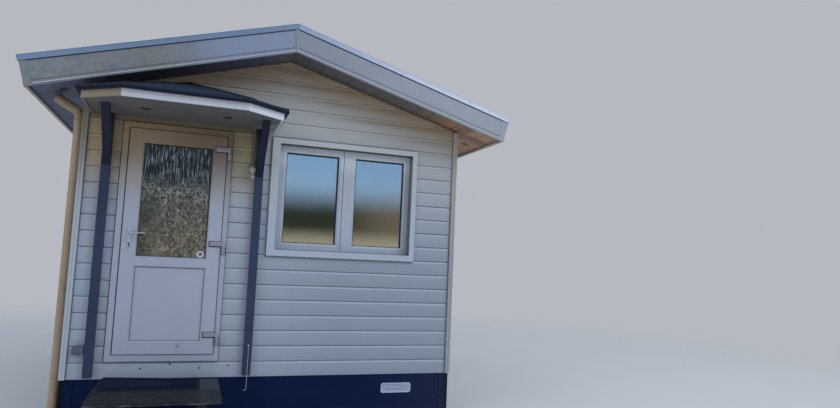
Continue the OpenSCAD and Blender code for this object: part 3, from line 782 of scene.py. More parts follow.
def m_timber(name, base, grain=(2.2, 42.0, 42.0), rough=0.75, worn=None, spec=0.35):
    M = NT(name, rough=rough)
    M.b.inputs["Specular IOR Level"].default_value = spec
    x, y, z = M.sep()
    v = M.map(grain)
    g = M.noise(1.0, 7.0, 0.62, v, 1.2)
    ring = M.noise(2.6, 5.0, 0.6, M.map((grain[0] * 0.35, grain[1] * 0.35, grain[2] * 0.35)), 2.0)
    c = M.ramp(g, [(0.25, mul(base, 0.48)), (0.45, mul(base, 0.85)), (0.58, base), (0.8, mul(base, 1.35))])
    c = M.mix(M.range(ring, 0.45, 0.62, 0.0, 0.5), c, mul(base, 0.6))
    t = M.attr()
    c = M.mix(M.range(t, 0.0, 1.0, 0.0, 0.35), c, mul(base, 1.25))
    green = M.noise(3.2, 6.0, 0.7)
    c = M.mix(M.range(green, 0.55, 0.78, 0.0, 0.4), c, (base[0] * 0.55, base[1] * 0.66, base[2] * 0.5))
    if worn == "deck":
        # weathered blue-grey on the right of the mat, darker and greener in front,
        #         # and a painted highlight along the front lip
        side = M.range(x, -0.68, -0.62, 0.0, 0.75, True)
        c = M.mix(side, c, (0.052, 0.062, 0.090))
        fr = M.range(y, YF - 0.50, YF - 0.58, 0.0, 0.6, True)
        c = M.mix(fr, c, (0.0125, 0.0145, 0.0195))
        c = M.mix(M.math("MULTIPLY", M.math("MULTIPLY", M.range(y, YF - 0.925, YF - 0.933, 0.0, 1.0, True), M.range(z, 0.434, 0.422, 0.0, 1.0, True)), M.range(M.noise(1.0, 6.0, 0.75, M.map((7.0, 90.0, 90.0))), 0.50, 0.62, 0.0, 0.95)), c, (0.21, 0.215, 0.23))
        pud = M.noise(4.0, 6.0, 0.7)
        c = M.mix(M.range(pud, 0.50, 0.72, 0.0, 0.5), c, mul(base, 0.45))
    M.color(c)
    M.roughness(M.range(M.noise(8.0, 5.0, 0.7), 0.35, 0.65, rough - 0.18, rough + 0.08))
    M.normal(M.bump(M.math("ADD", g, M.math("MULTIPLY", M.noise(1.0, 3.0, 0.5, M.map(tuple(4 * s for s in grain))), 0.5)), 0.6, 0.0014))
    return M.m


def m_reveal():
    """Lining of the window hole, darkened as painted shade: near black under the head, paler down the sides."""
    M = NT("reveal_paint", rough=0.5)
    x, y, z = M.sep()
    c = vary(M, (0.200, 0.188, 0.182), 3.0, 0.06, 0.03, tint=0.03)
    # painted shade under the head
    c = M.mix(M.range(z, 2.661, 2.668, 0.0, 1.0), c, (0.052, 0.052, 0.060))
    c = M.mix(M.range(M.noise(14.0, 5.0, 0.7), 0.52, 0.75, 0.0, 0.35), c, (0.055, 0.052, 0.050))
    M.color(c)
    M.roughness(M.range(M.noise(20.0, 3.0), 0.3, 0.7, 0.45, 0.60))
    M.normal(M.bump(M.noise(1.0, 3.0, 0.5, M.map((60.0, 60.0, 2.0))), 0.2, 0.0006))
    return M.m


MAT = {}
MAT["clad"] = m_cladding()
MAT["lining"] = m_white("lining_paint", (0.62, 0.61, 0.58), 0.6, 0.25, (70.0, 70.0, 2.0), 0.03)
MAT["corner"] = m_corner("corner_trim_paint", (0.415, 0.395, 0.376))
# painted light in these whites: warmer with height on all three, painted shade under the roof on the trim, under the
# canopy on the door's PVC, and a painted highlight at the head of the window's PVC
MAT["trim"] = m_white("white_trim_paint", (0.465, 0.535, 0.635), 0.45, 0.25, (60.0, 60.0, 2.0), 0.12, 1.0, 0.8, 0.0)
MAT["reveal"] = m_reveal()
MAT["pvc"] = m_white("white_pvc", (0.435, 0.470, 0.575), 0.34, 0.06, None, 0.06, 0.6, 0.0, 1.0)
MAT["wpvc"] = m_white("window_pvc", (0.455, 0.515, 0.605), 0.34, 0.06, None, 0.06, 0.5, 0.0, 0.0, top=0.8)
MAT["fascia"] = m_fascia()
MAT["bead"] = m_white("fascia_bead", (0.60, 0.635, 0.70), 0.40, 0.10, None, 0.10)
MAT["seam"] = m_plastic("fascia_seam", (0.105, 0.115, 0.145), 0.6)
MAT["shade"] = m_plastic("shadow_gap", (0.038, 0.056, 0.100), 0.6)
MAT["lip"] = m_white("eaves_lip", (0.50, 0.40, 0.27), 0.45, 0.10, None, 0.12)
MAT["canopy_white"] = m_canopy_white("canopy_white", (0.615, 0.65, 0.73))
MAT["plinth"] = m_navy("plinth_navy", (0.0034, 0.0135, 0.0540), 0.60, (2.5, 2.5, 60.0), 0.30, 0.08)
MAT["plinth_side"] = m_navy("plinth_edge", (0.0040, 0.0055, 0.0090), 0.6, (60.0, 60.0, 2.5), 0.2, 0.15)
MAT["post"] = m_navy("post_navy", (0.0290, 0.0450, 0.0980), 0.42, (60.0, 60.0, 2.5), 0.0, 0.30, 0.25)
MAT["brace"] = m_navy("brace_navy", (0.0145, 0.0195, 0.048), 0.45, (60.0, 60.0, 2.5), 0.0, 0.25)
MAT["felt"] = m_felt("roof_felt", (0.060, 0.064, 0.070))
MAT["felt_seam"] = m_felt("felt_seam", (0.022, 0.023, 0.026), 0.1, 0.5)
MAT["canopy_felt"] = m_felt("canopy_felt", (0.020, 0.034, 0.062), 0.25, 0.75, 0.15)
MAT["canopy_edge"] = m_felt("canopy_edge", (0.0075, 0.0100, 0.0210), 0.15, 0.65, 0.15)
MAT["soffit"] = m_soffit()
MAT["soffit_joint"] = m_plastic("soffit_joint", (0.022, 0.018, 0.018), 0.7, 0.2)
MAT["ceiling"] = m_white("ceiling_boards", (0.60, 0.60, 0.58), 0.6, 0.2, None, 0.03)
MAT["can_soffit"] = m_can_soffit()
MAT["roof_core"] = m_timber("roof_core", (0.30, 0.26, 0.20), (42.0, 2.2, 42.0))
MAT["roof_metal"] = m_roof_metal()
MAT["hinge"] = m_metal("hinge_white", (0.35, 0.375, 0.44), 0.42, 0.15)
MAT["satin"] = m_metal("satin_aluminium", (0.58, 0.64, 0.74), 0.30, 0.85)
MAT["plate"] = m_metal("handle_plate_white", (0.50, 0.54, 0.62), 0.36, 0.25)
MAT["zinc"] = m_metal("zinc_wire", (0.50, 0.57, 0.70), 0.42, 0.25)
MAT["screw"] = m_metal("screw_heads", (0.012, 0.011, 0.013), 0.6, 0.2)
MAT["gasket"] = m_plastic("gasket_rubber", (0.010, 0.012, 0.016), 0.6)
MAT["spacer"] = m_metal("spacer_bar", (0.030, 0.033, 0.040), 0.55, 0.4)
MAT["vent"] = m_plastic("vent_plastic", (0.44, 0.52, 0.68), 0.45, 0.06, 0.2, 0.35, 14.0)
MAT["dark"] = m_plastic("dark_void", (0.012, 0.013, 0.016), 0.8)
MAT["spot"] = m_metal("spot_ring", (0.045, 0.033, 0.028), 0.40, 0.5)
MAT["badge"] = m_plastic("badge_grey", (0.155, 0.150, 0.135), 0.45)
MAT["lens"] = m_plastic("spot_lens", (0.030, 0.018, 0.014), 0.3)
MAT["sensor"] = m_plastic("sensor_grey", (0.42, 0.42, 0.40), 0.5, 0.06, 0.2, 0.3, 18.0)
MAT["sensor_dark"] = m_plastic("sensor_dark", (0.020, 0.022, 0.022), 0.35)
MAT["conduit"] = m_plastic("conduit_grey", (0.215, 0.225, 0.170), 0.5)
MAT["socket"] = m_plastic("socket_grey", (0.085, 0.110, 0.165), 0.5, 0.08, 0.2, 0.3, 20.0)
MAT["socket_rim"] = m_plastic("socket_rim", (0.42, 0.45, 0.52), 0.5)
MAT["downpipe"] = m_plastic("downpipe_cream", (0.42, 0.31, 0.20), 0.38, 0.06, 0.1, 0.2, 3.0)
MAT["deck"] = m_timber("deck_boards", (0.0132, 0.0155, 0.0228), (2.2, 42.0, 42.0), 0.7, "deck")
# painted shade: the bearers are darkened for the shade under the deck
MAT["bearer"] = m_timber("deck_bearers", (0.018, 0.017, 0.018), (42.0, 2.2, 42.0))
MAT["leg"] = m_timber("deck_legs", (0.070, 0.070, 0.074), (42.0, 42.0, 2.2))
MAT["mat"] = m_plastic("mat_rubber", (0.0034, 0.0078, 0.0290), 0.75, 0.2, 0.5, 0.3, 9.0, 0.2)
MAT["floorboards"] = m_timber("floor_boards", (0.33, 0.23, 0.14), (42.0, 2.2, 42.0), 0.5)


def m_window_glass():
    """Sealed unit with a sun-control coating, slightly uneven as float glass is."""
    M = NT("window_glass", rough=0.0, metallic=0.52)
    M.b.inputs["Transmission Weight"].default_value = 1.0
    M.b.inputs["IOR"].default_value = 1.52
    a = M.noise(1.4, 3.0)
    c = M.mix(M.range(a, 0.3, 0.7), (0.80, 0.88, 0.94), (0.84, 0.92, 0.97))
    dust = M.noise(24.0, 6.0, 0.7)
    c = M.mix(M.range(dust, 0.58, 0.80, 0.0, 0.16), c, (0.55, 0.58, 0.58))
    M.color(c)
    M.normal(M.bump(M.noise(1.6, 2.0), 0.10, 0.0030))
    return M.m


def m_door_glass():
    """Patterned glass whose colour holds painted reflections and painted glints: drawn streaks above, and close cells
    lower down.
    """
    M = NT("door_glass", rough=0.06, metallic=0.42)
    M.b.inputs["Transmission Weight"].default_value = 1.0
    M.b.inputs["IOR"].default_value = 1.52
    x, y, z = M.sep()
    streaks = M.noise(1.0, 3.0, 0.60, M.map((88.0, 88.0, 8.5)), 0.4)
    cells = M.noise(1.0, 3.0, 0.62, M.map((64.0, 64.0, 48.0)), 1.0)
    k = M.range(M.math("ADD", z, M.math("MULTIPLY", M.math("SUBTRACT", M.noise(7.0, 3.0), 0.5), 0.3)), 2.10, 2.30, 0.0, 1.0, True)
    # painted reflections: the streaks and cells run from dark to bright, warmer lower down
    up = M.ramp(streaks, [(0.38, (0.020, 0.022, 0.024)), (0.51, (0.100, 0.100, 0.100)), (0.57, (0.38, 0.36, 0.34)), (0.65, (1.0, 0.95, 0.88))])
    dn = M.ramp(cells, [(0.37, (0.045, 0.045, 0.038)), (0.47, (0.32, 0.290, 0.235)), (0.54, (0.74, 0.655, 0.52)), (0.61, (1.0, 0.97, 0.86))])
    dn = M.mix(M.range(z, 2.20, 1.85, 0.05, 0.24, True), dn, (0.42, 0.385, 0.325))
    c = M.mix(k, dn, up)
    # painted reflection: a greener tone over the lower left of the pane
    side = M.range(M.math("ADD", x, M.math("MULTIPLY", M.math("SUBTRACT", M.noise(9.0, 4.0, 0.6), 0.5), 0.25)), -1.02, -1.20, 0.0, 0.55, True)
    c = M.mix(M.math("MULTIPLY", side, M.range(z, 2.12, 1.98, 0.0, 1.0, True)), c, (0.115, 0.135, 0.105))
    # painted glints in a band across the pane
    painted_glints = M.noise(1.0, 2.0, 0.5, M.map((52.0, 52.0, 52.0)), 0.3)
    c = M.mix(M.math("MULTIPLY", M.range(painted_glints, 0.63, 0.69, 0.0, 0.9), M.math("MULTIPLY", M.range(z, 1.98, 2.08), M.range(z, 2.20, 2.10))), c, (1.0, 0.98, 0.88))
    # painted reflection: dark green patches, and warm light ones lower down
    a = M.noise(4.0, 4.0, 0.6)
    c = M.mix(M.range(a, 0.52, 0.68, 0.0, 0.50), c, (0.12, 0.14, 0.12))
    c = M.mix(M.math("MULTIPLY", M.range(a, 0.48, 0.34, 0.0, 0.50), M.range(z, 2.2, 2.0)), c, (0.95, 0.80, 0.62))
    M.color(c)
    M.normal(M.bump(M.noise(1.0, 4.0, 0.7, M.map((150.0, 150.0, 80.0))), 0.5, 0.0030))
    return M.m


def m_clear():
    M = NT("clear_glass", rough=0.0)
    M.b.inputs["Transmission Weight"].default_value = 1.0
    M.b.inputs["IOR"].default_value = 1.52
    M.color(M.mix(M.range(M.noise(20.0, 5.0, 0.7), 0.5, 0.8), (0.90, 0.93, 0.92), (0.84, 0.87, 0.86)))
    M.normal(M.bump(M.noise(2.0, 2.0), 0.05, 0.002))
    return M.m


MAT["clear"] = m_clear()
MAT["glass"] = m_window_glass()
MAT["door_glass"] = m_door_glass()

random.seed(7)

# ------------------------------------------------------------------ cladding
DOOR = (-1.442, -0.492, 0.600, 2.730)
WIN = (-0.060, 1.316, 1.630, 2.680)
# the boards stop short of the door frame and the window trim
DOOR_B = (-1.4495, -0.4880, 0.6000, 2.7310)
WIN_B = (-0.1370, 1.3600, 1.5700, 2.7250)
BT = 0.020
GAPX = 0.0325


def board_prof(zb, top=None):
    """(depth, z) of a double board: each strip has a flat face, a sloping top edge and
    a dark joint under the next one."""
    zm, zt = zb + STRIP, zb + 2 * STRIP
    return [(0.0125, zb), (0.0030, zb), (0.0008, zb + 0.0012), (0.0, zb + 0.0035), (0.0, zm - 0.0275), (0.0006, zm - 0.0260), (0.0048, zm - 0.0090),
            (0.0078, zm - 0.0072), (0.0100, zm - 0.0060), (0.0100, zm - 0.0006), (0.0030, zm), (0.0008, zm + 0.0012), (0.0, zm + 0.0035),
            (0.0, zt - 0.0290), (0.0006, zt - 0.0275), (0.0054, zt - 0.0098), (0.0084, zt - 0.0082), (0.0125, zt - 0.0070), (0.0125, zt + 0.004),
            (BT, zt + 0.004), (BT, zb)]


def board_bm(a0, a1, j, wall):
    """One board of a wall from a0 to a1 along it. wall places (along, depth, z)."""
    zb = Z0 + 2 * STRIP * j
    k = max(1, int(math.ceil((a1 - a0) / 0.30)))
    b = bmesh.new()
    rings = []
    for i in range(k + 1):
        a = a0 + (a1 - a0) * i / k
        ring = []
        for d, z in board_prof(zb):
            w = 0.0009 * nz(a * 1.1, j * 5.1, z * 0.7, 2)
            dz = 0.0013 * nz(a * 0.9, j * 3.7 + round((z - zb) / STRIP) * 2.2, 0.0, 5) if d < 0.011 else 0.0
            d2 = d + (w if d < 0.011 else 0.0) + 0.0010
            ring.append(b.verts.new(wall(a, d2 if d < 0.011 else d, z + dz)))
        rings.append(ring)
    n = len(rings[0])
    for i in range(k):
        for q in range(n):
            b.faces.new((rings[i][q], rings[i][(q + 1) % n], rings[i + 1][(q + 1) % n], rings[i + 1][q]))
    b.faces.new(list(reversed(rings[0])))
    b.faces.new(rings[-1])
    bmesh.ops.recalc_face_normals(b, faces=b.faces[:])
    return b


def add_board(mb, b, t):
    if b.faces:
        mb.bm(b, 0, False, t)
    else:
        b.free()


def gable_cuts(b, lift=-0.0015):
    for s in (1, -1):
        cut(b, Vector((0, 0, APEX + lift)), Vector((s * SP, 0, CP)))


front = lambda a, d, z: (a, d, z)
back = lambda a, d, z: (a, DEPTH - d, z)
right = lambda a, d, z: (XR - d, a, z)
left = lambda a, d, z: (XL + d, a, z)


def intervals(z0, z1, holes):
    """Stretches along the front, each with the part of the height kept: (a0, a1, lo, hi)."""
    xs = sorted({XL + GAPX, XR - GAPX} | {h[0] for h in holes if h[2] < z1 and h[3] > z0} | {h[1] for h in holes if h[2] < z1 and h[3] > z0})
    out = []
    for a0, a1 in zip(xs[:-1], xs[1:]):
        mid = (a0 + a1) / 2
        h = [q for q in holes if q[0] < mid < q[1] and q[2] < z1 and q[3] > z0]
        if not h:
            out.append((a0, a1, None, None))
        else:
            q = h[0]
            if q[2] > z0 + 0.004:
                out.append((a0, a1, None, q[2]))
            if q[3] < z1 - 0.004:
                out.append((a0, a1, q[3], None))
    return out


def gable_wall(holes, wall, j1=10, seed=1):
    mb = MB()
    rnd = random.Random(seed)
    for j in range(j1 + 1):
        zb = Z0 + 2 * STRIP * j
        t = rnd.random()
        for a0, a1, lo, hi in intervals(zb, zb + 2 * STRIP, holes):
            x1 = (APEX - zb) / TP
            aa0, aa1 = max(a0, -x1), min(a1, x1)
            if aa1 - aa0 < 0.004:
                continue
            b = board_bm(aa0, aa1, j, wall)
            if zb + 2 * STRIP + 0.01 > under(XR):
                gable_cuts(b)
            if hi is not None:
                cut(b, Vector((0, 0, hi)), Vector((0, 0, 1)))
            if lo is not None:
                cut(b, Vector((0, 0, lo)), Vector((0, 0, -1)))
            add_board(mb, b, t)
    return mb


def core(mb, pts, y0, y1, holes=(), mi=1):
    """Inner part of a gable wall with its openings, from plain blocks."""
    xs = sorted({XL + BT, XR - BT, 0.0} | {h[0] for h in holes} | {h[1] for h in holes})
    for a0, a1 in zip(xs[:-1], xs[1:]):
        mid = (a0 + a1) / 2
        h = [q for q in holes if q[0] < mid < q[1]]
        lo = 0.6005
        spans = [(lo, None)]
        if h:
            spans = []
            if h[0][2] > lo + 0.01:
                spans.append((lo, h[0][2]))
            spans.append((h[0][3], None))
        for z0, z1 in spans:
            top0 = under(a0) - 0.002 if z1 is None else z1
            top1 = under(a1) - 0.002 if z1 is None else z1
            vs = [(a0, y0, z0), (a1, y0, z0), (a1, y0, top1), (a0, y0, top0), (a0, y1, z0), (a1, y1, z0), (a1, y1, top1), (a0, y1, top0)]
            mb.add(vs, [(0, 1, 2, 3), (5, 4, 7, 6), (4, 0, 3, 7), (1, 5, 6, 2), (4, 5, 1, 0), (3, 2, 6, 7)], mi)


def lining(mb, a0, a1, wall, ztop, holes=(), d0=0.1485, d1=0.1500, w=0.20):
    """Thin boards on a wall's inner face, with fine gaps."""
    n = max(1, int(round((a1 - a0) / w)))
    cuts = sorted({a0 + (a1 - a0) * i / n for i in range(n + 1)} | {h[0] for h in holes} | {h[1] for h in holes})
    for p0, p1 in zip(cuts[:-1], cuts[1:]):
        if p1 - p0 < 0.006:
            continue
        h = [q for q in holes if q[0] < (p0 + p1) / 2 < q[1]]
        spans = [(0.601, None)]
        if h:
            spans = ([(0.601, h[0][2])] if h[0][2] > 0.61 else []) + [(h[0][3], None)]
        for z0, z1 in spans:
            q0, q1 = p0 + 0.001, p1 - 0.001
            t0 = ztop(q0) if z1 is None else z1
            t1 = ztop(q1) if z1 is None else z1
            vs = [wall(q0, d0, z0), wall(q1, d0, z0), wall(q1, d0, t1), wall(q0, d0, t0), wall(q0, d1, z0), wall(q1, d1, z0), wall(q1, d1, t1), wall(q0, d1, t0)]
            mb.add(vs, [(0, 1, 2, 3), (5, 4, 7, 6), (4, 0, 3, 7), (1, 5, 6, 2), (4, 5, 1, 0), (3, 2, 6, 7)], 1, t=random.random())


def screws(mb, pts, mi, d=-0.0012, r=0.0042, y=0.0):
    for x, z in pts:
        lathe(mb, [(0, y + 0.002), (r, y + 0.002), (r, y + d + 0.0006), (r * 0.8, y + d), (r * 0.35, y + d + 0.0002), (0, y + d + 0.0010)], (x, 0, z), (0, 1, 0), 12, mi)


clear = lambda x: under(x) - 0.004
fw = gable_wall([DOOR_B, WIN_B], front, seed=3)
core(fw, None, BT, 0.1480, [DOOR, WIN])
lining(fw, XL + 0.15, XR - 0.15, front, clear, [DOOR, WIN])
for x_, z_, r_ in ((-1.144, 0.538, 0.0082), (-0.901, 0.575, 0.0078), (-0.650, 0.536, 0.0082), (-0.400, 0.553, 0.0078), (-1.374, 0.569, 0.0038), (-1.424, 0.583, 0.0034), (-1.407, 0.563, 0.0030), (-1.293, 0.564, 0.0036)):
    # counterbored hole with its screw
    lathe(fw, [(0, 0.0006), (r_ * 0.55, 0.0006), (r_ * 0.62, -0.0002), (r_ * 0.60, -0.0006), (0, -0.0004)], (x_, 0, z_), (0, 1, 0), 12, 2)
    lathe(fw, [(0, -0.00005), (r_, -0.00005), (r_ * 0.98, -0.0005), (r_ * 0.72, -0.0001), (0, -0.0001)], (x_, 0, z_), (0, 1, 0), 18, 2)
fw.obj("front_cladding", [MAT["clad"], MAT["lining"], MAT["screw"]], slot="cladding", rep=("front_wall_left", "front_wall_over_door", "front_wall_right"))

bw = gable_wall([], back, seed=5)
core(bw, None, DEPTH - 0.1480, DEPTH - BT)
lining(bw, XL + 0.15, XR - 0.15, back, clear)
bw.obj("back_cladding", [MAT["clad"], MAT["lining"]], slot="cladding", rep=("back_wall",))


def side_wall(wall, seed):
    mb = MB()
    rnd = random.Random(seed)
    s = 1 if wall is right else -1
    for j in range(9):
        t = rnd.random()
        b = board_bm(BT + 0.0005, DEPTH - BT - 0.0005, j, wall)
        if Z0 + 2 * STRIP * (j + 1) > under(XR) - 0.02:
            cut(b, Vector((0, 0, APEX - 0.0015)), Vector((s * SP, 0, CP)))
        add_board(mb, b, t)
    x0, x1 = (XR - 0.148, XR - BT) if s > 0 else (XL + BT, XL + 0.148)
    vs = []
    for y in (BT + 0.0005, DEPTH - BT - 0.0005):
        vs += [(x0, y, 0.6005), (x1, y, 0.6005), (x1, y, clear(x1)), (x0, y, clear(x0))]
    mb.add(vs, [(0, 1, 2, 3), (7, 6, 5, 4), (0, 4, 5, 1), (1, 5, 6, 2), (2, 6, 7, 3), (3, 7, 4, 0)], 1)
    lining(mb, 0.1505, DEPTH - 0.1505, wall, lambda a: clear(XR - 0.15))
    return mb


side_wall(left, 11).obj("left_cladding", [MAT["clad"], MAT["lining"]], slot="cladding", rep=("left_wall",))
side_wall(right, 12).obj("right_cladding", [MAT["clad"], MAT["lining"]], slot="cladding", rep=("right_wall",))

# ------------------------------------------------------------------ plinth, floor
pl = MB()
PX0, PX1 = XL - 0.017, XR + 0.017


def plinth_face(wall_len0, wall_len1, place, joints, y0=0.010):
    xs = [wall_len0] + joints + [wall_len1]
    for i, (a0, a1) in enumerate(zip(xs[:-1], xs[1:])):
        g0 = 0.0013 if i else 0.0
        g1 = 0.0013 if i < len(xs) - 2 else 0.0
        tmp = MB()
        bev_box(tmp, a0 + g0, a1 - g1, y0, y0 + 0.018, 0.0, 0.4495, 0.0018, 1, 0, t=random.random())
        tmp.v = [place(*p) for p in tmp.v]
        pl.merge(tmp)
        tmp = MB()
        bev_box(tmp, a0, a1, y0 + 0.0185, y0 + 0.060, 0.0, 0.4490, 0.0, 1, 1)
        tmp.v = [place(*p) for p in tmp.v]
        pl.merge(tmp)


# front and back panels between the dark edges of the side boards
for fl_ in (False, True):
    pf = (lambda x, y, z: (x, DEPTH - y, z)) if fl_ else (lambda x, y, z: (x, y, z))
    plinth_face(PX0 + 0.029, PX1 - 0.029, pf, [-1.662, 1.694])
for s in (1, -1):
    pf = (lambda a, d, z: (PX1 - d, a, z)) if s > 0 else (lambda a, d, z: (PX0 + d, a, z))
    plinth_face(0.0725, DEPTH - 0.0725, pf, [1.22, 2.44, 3.66], 0.0)
    for y0, y1 in ((0.0104, 0.0720), (DEPTH - 0.0720, DEPTH - 0.0104)):
        x0, x1 = (PX1 - 0.0280, PX1) if s > 0 else (PX0, PX0 + 0.0280)
        bev_box(pl, x0, x1, y0, y1, 0.0, 0.4492, 0.0016, 1, 1, t=0.4)
pl.obj("plinth_panels", [MAT["plinth"], MAT["plinth_side"]], slot="plinth_paint", rep=("plinth_walls",))

fl = MB()
bev_box(fl, XL + BT + 0.001, XR - BT - 0.001, BT + 0.001, DEPTH - BT - 0.001, 0.4505, 0.5900, 0.0, mi=1)
nb = 17
w = (2 * (HALF - 0.151)) / nb
for i in range(nb):
    x0 = XL + 0.151 + i * w
    y = 0.152
    k = random.uniform(0.6, 1.8)
    while y < DEPTH - 0.152:
        y1 = min(y + k, DEPTH - 0.152)
        bev_box(fl, x0 + 0.0006, x0 + w - 0.0006, y + 0.0006, y1 - 0.0006, 0.5902, 0.6000, 0.0012, 1, 0, t=random.random())
        y = y1
        k = random.uniform(1.1, 1.9)
# sill of the doorway
bev_box(fl, DOOR[0] + 0.002, DOOR[1] - 0.002, 0.0605, 0.1500, 0.5902, 0.6000, 0.0012, 1, 0, t=0.4)
fl.obj("floor_boards", [MAT["floorboards"], MAT["roof_core"]], slot="floor_deck", rep=("floor",))

# ------------------------------------------------------------------ corner trims
ct = MB()


def corner(mb, top):
    o, w_, th = XR + 0.022, 0.048, 0.022
    r = 0.003
    prof = [(o - r, -0.022), (o - 0.0009, -0.0211), (o, -0.022 + r), (o, 0.026 - 0.002), (o - 0.002, 0.026), (XR + 0.0006, 0.026),
            (XR + 0.0006, 0.0195), (o - w_ + 0.002, 0.0195), (o - w_, 0.0175), (o - w_, -0.020), (o - w_ + 0.002, -0.022),
            (o - w_ + 0.0235, -0.022), (o - w_ + 0.0245, -0.0190), (o - w_ + 0.0262, -0.0190), (o - w_ + 0.0272, -0.022)]
    along_z(mb, prof, 0.4505, top, t=random.random())


c1, c2 = MB(), MB()
corner(c1, under(XR + 0.022) - 0.0015)
corner(c2, under(XL - 0.022) - 0.0015)
for m_ in (c1, c2.mirrored_x(WX), c1.mirrored_y(), c2.turned(WX)):
    ct.merge(m_)
ct.obj("corner_boards", [MAT["corner"]], slot="white_trim", rep=("corner_trims",))

# ------------------------------------------------------------------ roof
NLOW, NTOP, NTRIM, NMAX = -0.019, 0.195, 0.193, 0.243

bg = MB()
b1 = MB()
fy = -OVER
fas = [(fy + 0.020, NLOW + 0.001), (fy + 0.020, NTOP - 0.0005), (fy + 0.0015, NTOP - 0.0005), (fy, NTOP - 0.002), (fy, NLOW + 0.0475), (fy + 0.0030, NLOW + 0.0455), (fy + 0.0034, NLOW + 0.0438),
       (fy + 0.0034, NLOW + 0.0412), (fy - 0.0030, NLOW + 0.0400), (fy - 0.0040, NLOW + 0.0385), (fy - 0.0040, NLOW + 0.0110), (fy - 0.0012, NLOW + 0.0094), (fy - 0.0012, NLOW + 0.0078), (fy - 0.0038, NLOW + 0.0066), (fy - 0.0038, NLOW + 0.0016), (fy - 0.0022, NLOW), (fy + 0.018, NLOW)]
along_slope(b1, fas, None, UE, step=0.6, t=0.5)
# dark seam, white bead and drip line along the lower edge
along_slope(b1, [(fy - 0.0006, NLOW + 0.0415), (fy - 0.0006, NLOW + 0.0462), (fy + 0.0024, NLOW + 0.0462), (fy + 0.0024, NLOW + 0.0415)], None, UE - 0.056, mi=2)
along_slope(b1, [(fy - 0.0052, NLOW + 0.0135), (fy - 0.0058, NLOW + 0.0146), (fy - 0.0058, NLOW + 0.0204), (fy - 0.0052, NLOW + 0.0215), (fy - 0.0030, NLOW + 0.0215), (fy - 0.0030, NLOW + 0.0135)], None, UE - 0.056, mi=1)
along_slope(b1, [(fy - 0.0046, NLOW + 0.0218), (fy - 0.0046, NLOW + 0.0252), (fy - 0.0020, NLOW + 0.0252), (fy - 0.0020, NLOW + 0.0218)], None, UE - 0.056, mi=2)
# corner cover at the lower end
cov = [(fy - 0.0058, NLOW + 0.0004), (fy - 0.0058, NLOW + 0.0400), (fy - 0.0028, NLOW + 0.0436), (fy - 0.0020, NTOP - 0.003), (fy - 0.0002, NTOP - 0.003), (fy - 0.0002, NLOW + 0.0440),
       (fy - 0.0038, NLOW + 0.0392), (fy - 0.0038, NLOW + 0.0004)]
along_slope(b1, cov, UE - 0.058, UE + 0.0030, t=0.8)
for m_ in (b1, b1.mirrored_x()):
    bg.merge(m_)
    bg.merge(m_.mirrored_y())
# cover over the joint at the ridge, with a fold down its middle
for y_, k_ in ((fy, 1), (DEPTH - fy, -1)):
    pts = [(-0.024, NLOW - 0.0006), (-0.0075, NLOW - 0.0006), (0.012, NLOW - 0.0006), (0.012, NTOP - 0.004), (-0.0075, NTOP - 0.004), (-0.024, NTOP - 0.004)]
    dep = [0.0046, 0.0066, 0.0046, 0.0046, 0.0066, 0.0046]
    vs0, vs1 = [], []
    for (x_, n_), d_ in zip(pts, dep):
        z_ = APEX + n_ / CP - abs(x_) * TP
        vs0.append((x_, y_ - k_ * d_, z_))
        vs1.append((x_, y_ + k_ * 0.0005, z_))
    n_ = len(pts)
    bg.add(vs0 + vs1, [(0, 1, 4, 5), (1, 2, 3, 4), tuple(range(2 * n_ - 1, n_ - 1, -1))] + [(i, (i + 1) % n_, n_ + (i + 1) % n_, n_ + i) for i in range(n_)], t=0.75)
    bg.add([(-0.0112, y_ - k_ * q_, APEX + n2 / CP - 0.0112 * TP) if xx == 0 else (-0.0086, y_ - k_ * q_, APEX + n2 / CP - 0.0086 * TP) for n2 in (NLOW + 0.001, NTOP - 0.005) for xx, q_ in ((0, 0.0050), (1, 0.0050), (1, 0.0070), (0, 0.0070))],
           [(0, 1, 2, 3), (7, 6, 5, 4), (0, 4, 5, 1), (1, 5, 6, 2), (2, 6, 7, 3), (3, 7, 4, 0)], mi=2)
bg.obj("bargeboard_set", [MAT["fascia"], MAT["bead"], MAT["seam"]], slot="fascia_board", rep=("bargeboards",))

ef = MB()
e1 = MB()
ys0, ys1 = fy + 0.0205, DEPTH - fy - 0.0205
un = [(UE - 0.020, NLOW + 0.001), (UE - 0.020, 0.2055), (UE - 0.0015, 0.2055), (UE, 0.204), (UE, NLOW + 0.0475), (UE - 0.0030, NLOW + 0.0455), (UE - 0.0030, NLOW + 0.0412),
      (UE + 0.0030, NLOW + 0.0400), (UE + 0.0040, NLOW + 0.0385), (UE + 0.0040, NLOW + 0.0110), (UE + 0.0012, NLOW + 0.0094), (UE + 0.0012, NLOW + 0.0078), (UE + 0.0038, NLOW + 0.0066), (UE + 0.0038, NLOW + 0.0016), (UE + 0.0022, NLOW), (UE - 0.018, NLOW)]
for a0, a1 in ((ys0, 2.35), (2.3525, ys1)):
    along_y(e1, [RP(u, n) for u, n in un], a0, a1, step=0.8)
cov = [(UE + 0.0058, NLOW + 0.0004), (UE + 0.0058, NLOW + 0.0400), (UE + 0.0028, NLOW + 0.0436), (UE + 0.0020, NTOP - 0.003), (UE + 0.0002, NTOP - 0.003), (UE + 0.0002, NLOW + 0.0440),
       (UE + 0.0038, NLOW + 0.0392), (UE + 0.0038, NLOW + 0.0004)]
for a0, a1 in ((fy - 0.0035, fy + 0.060), (DEPTH - fy - 0.060, DEPTH - fy + 0.0035), (2.330, 2.372)):
    along_y(e1, [RP(u, n) for u, n in cov], a0, a1, t=0.8)
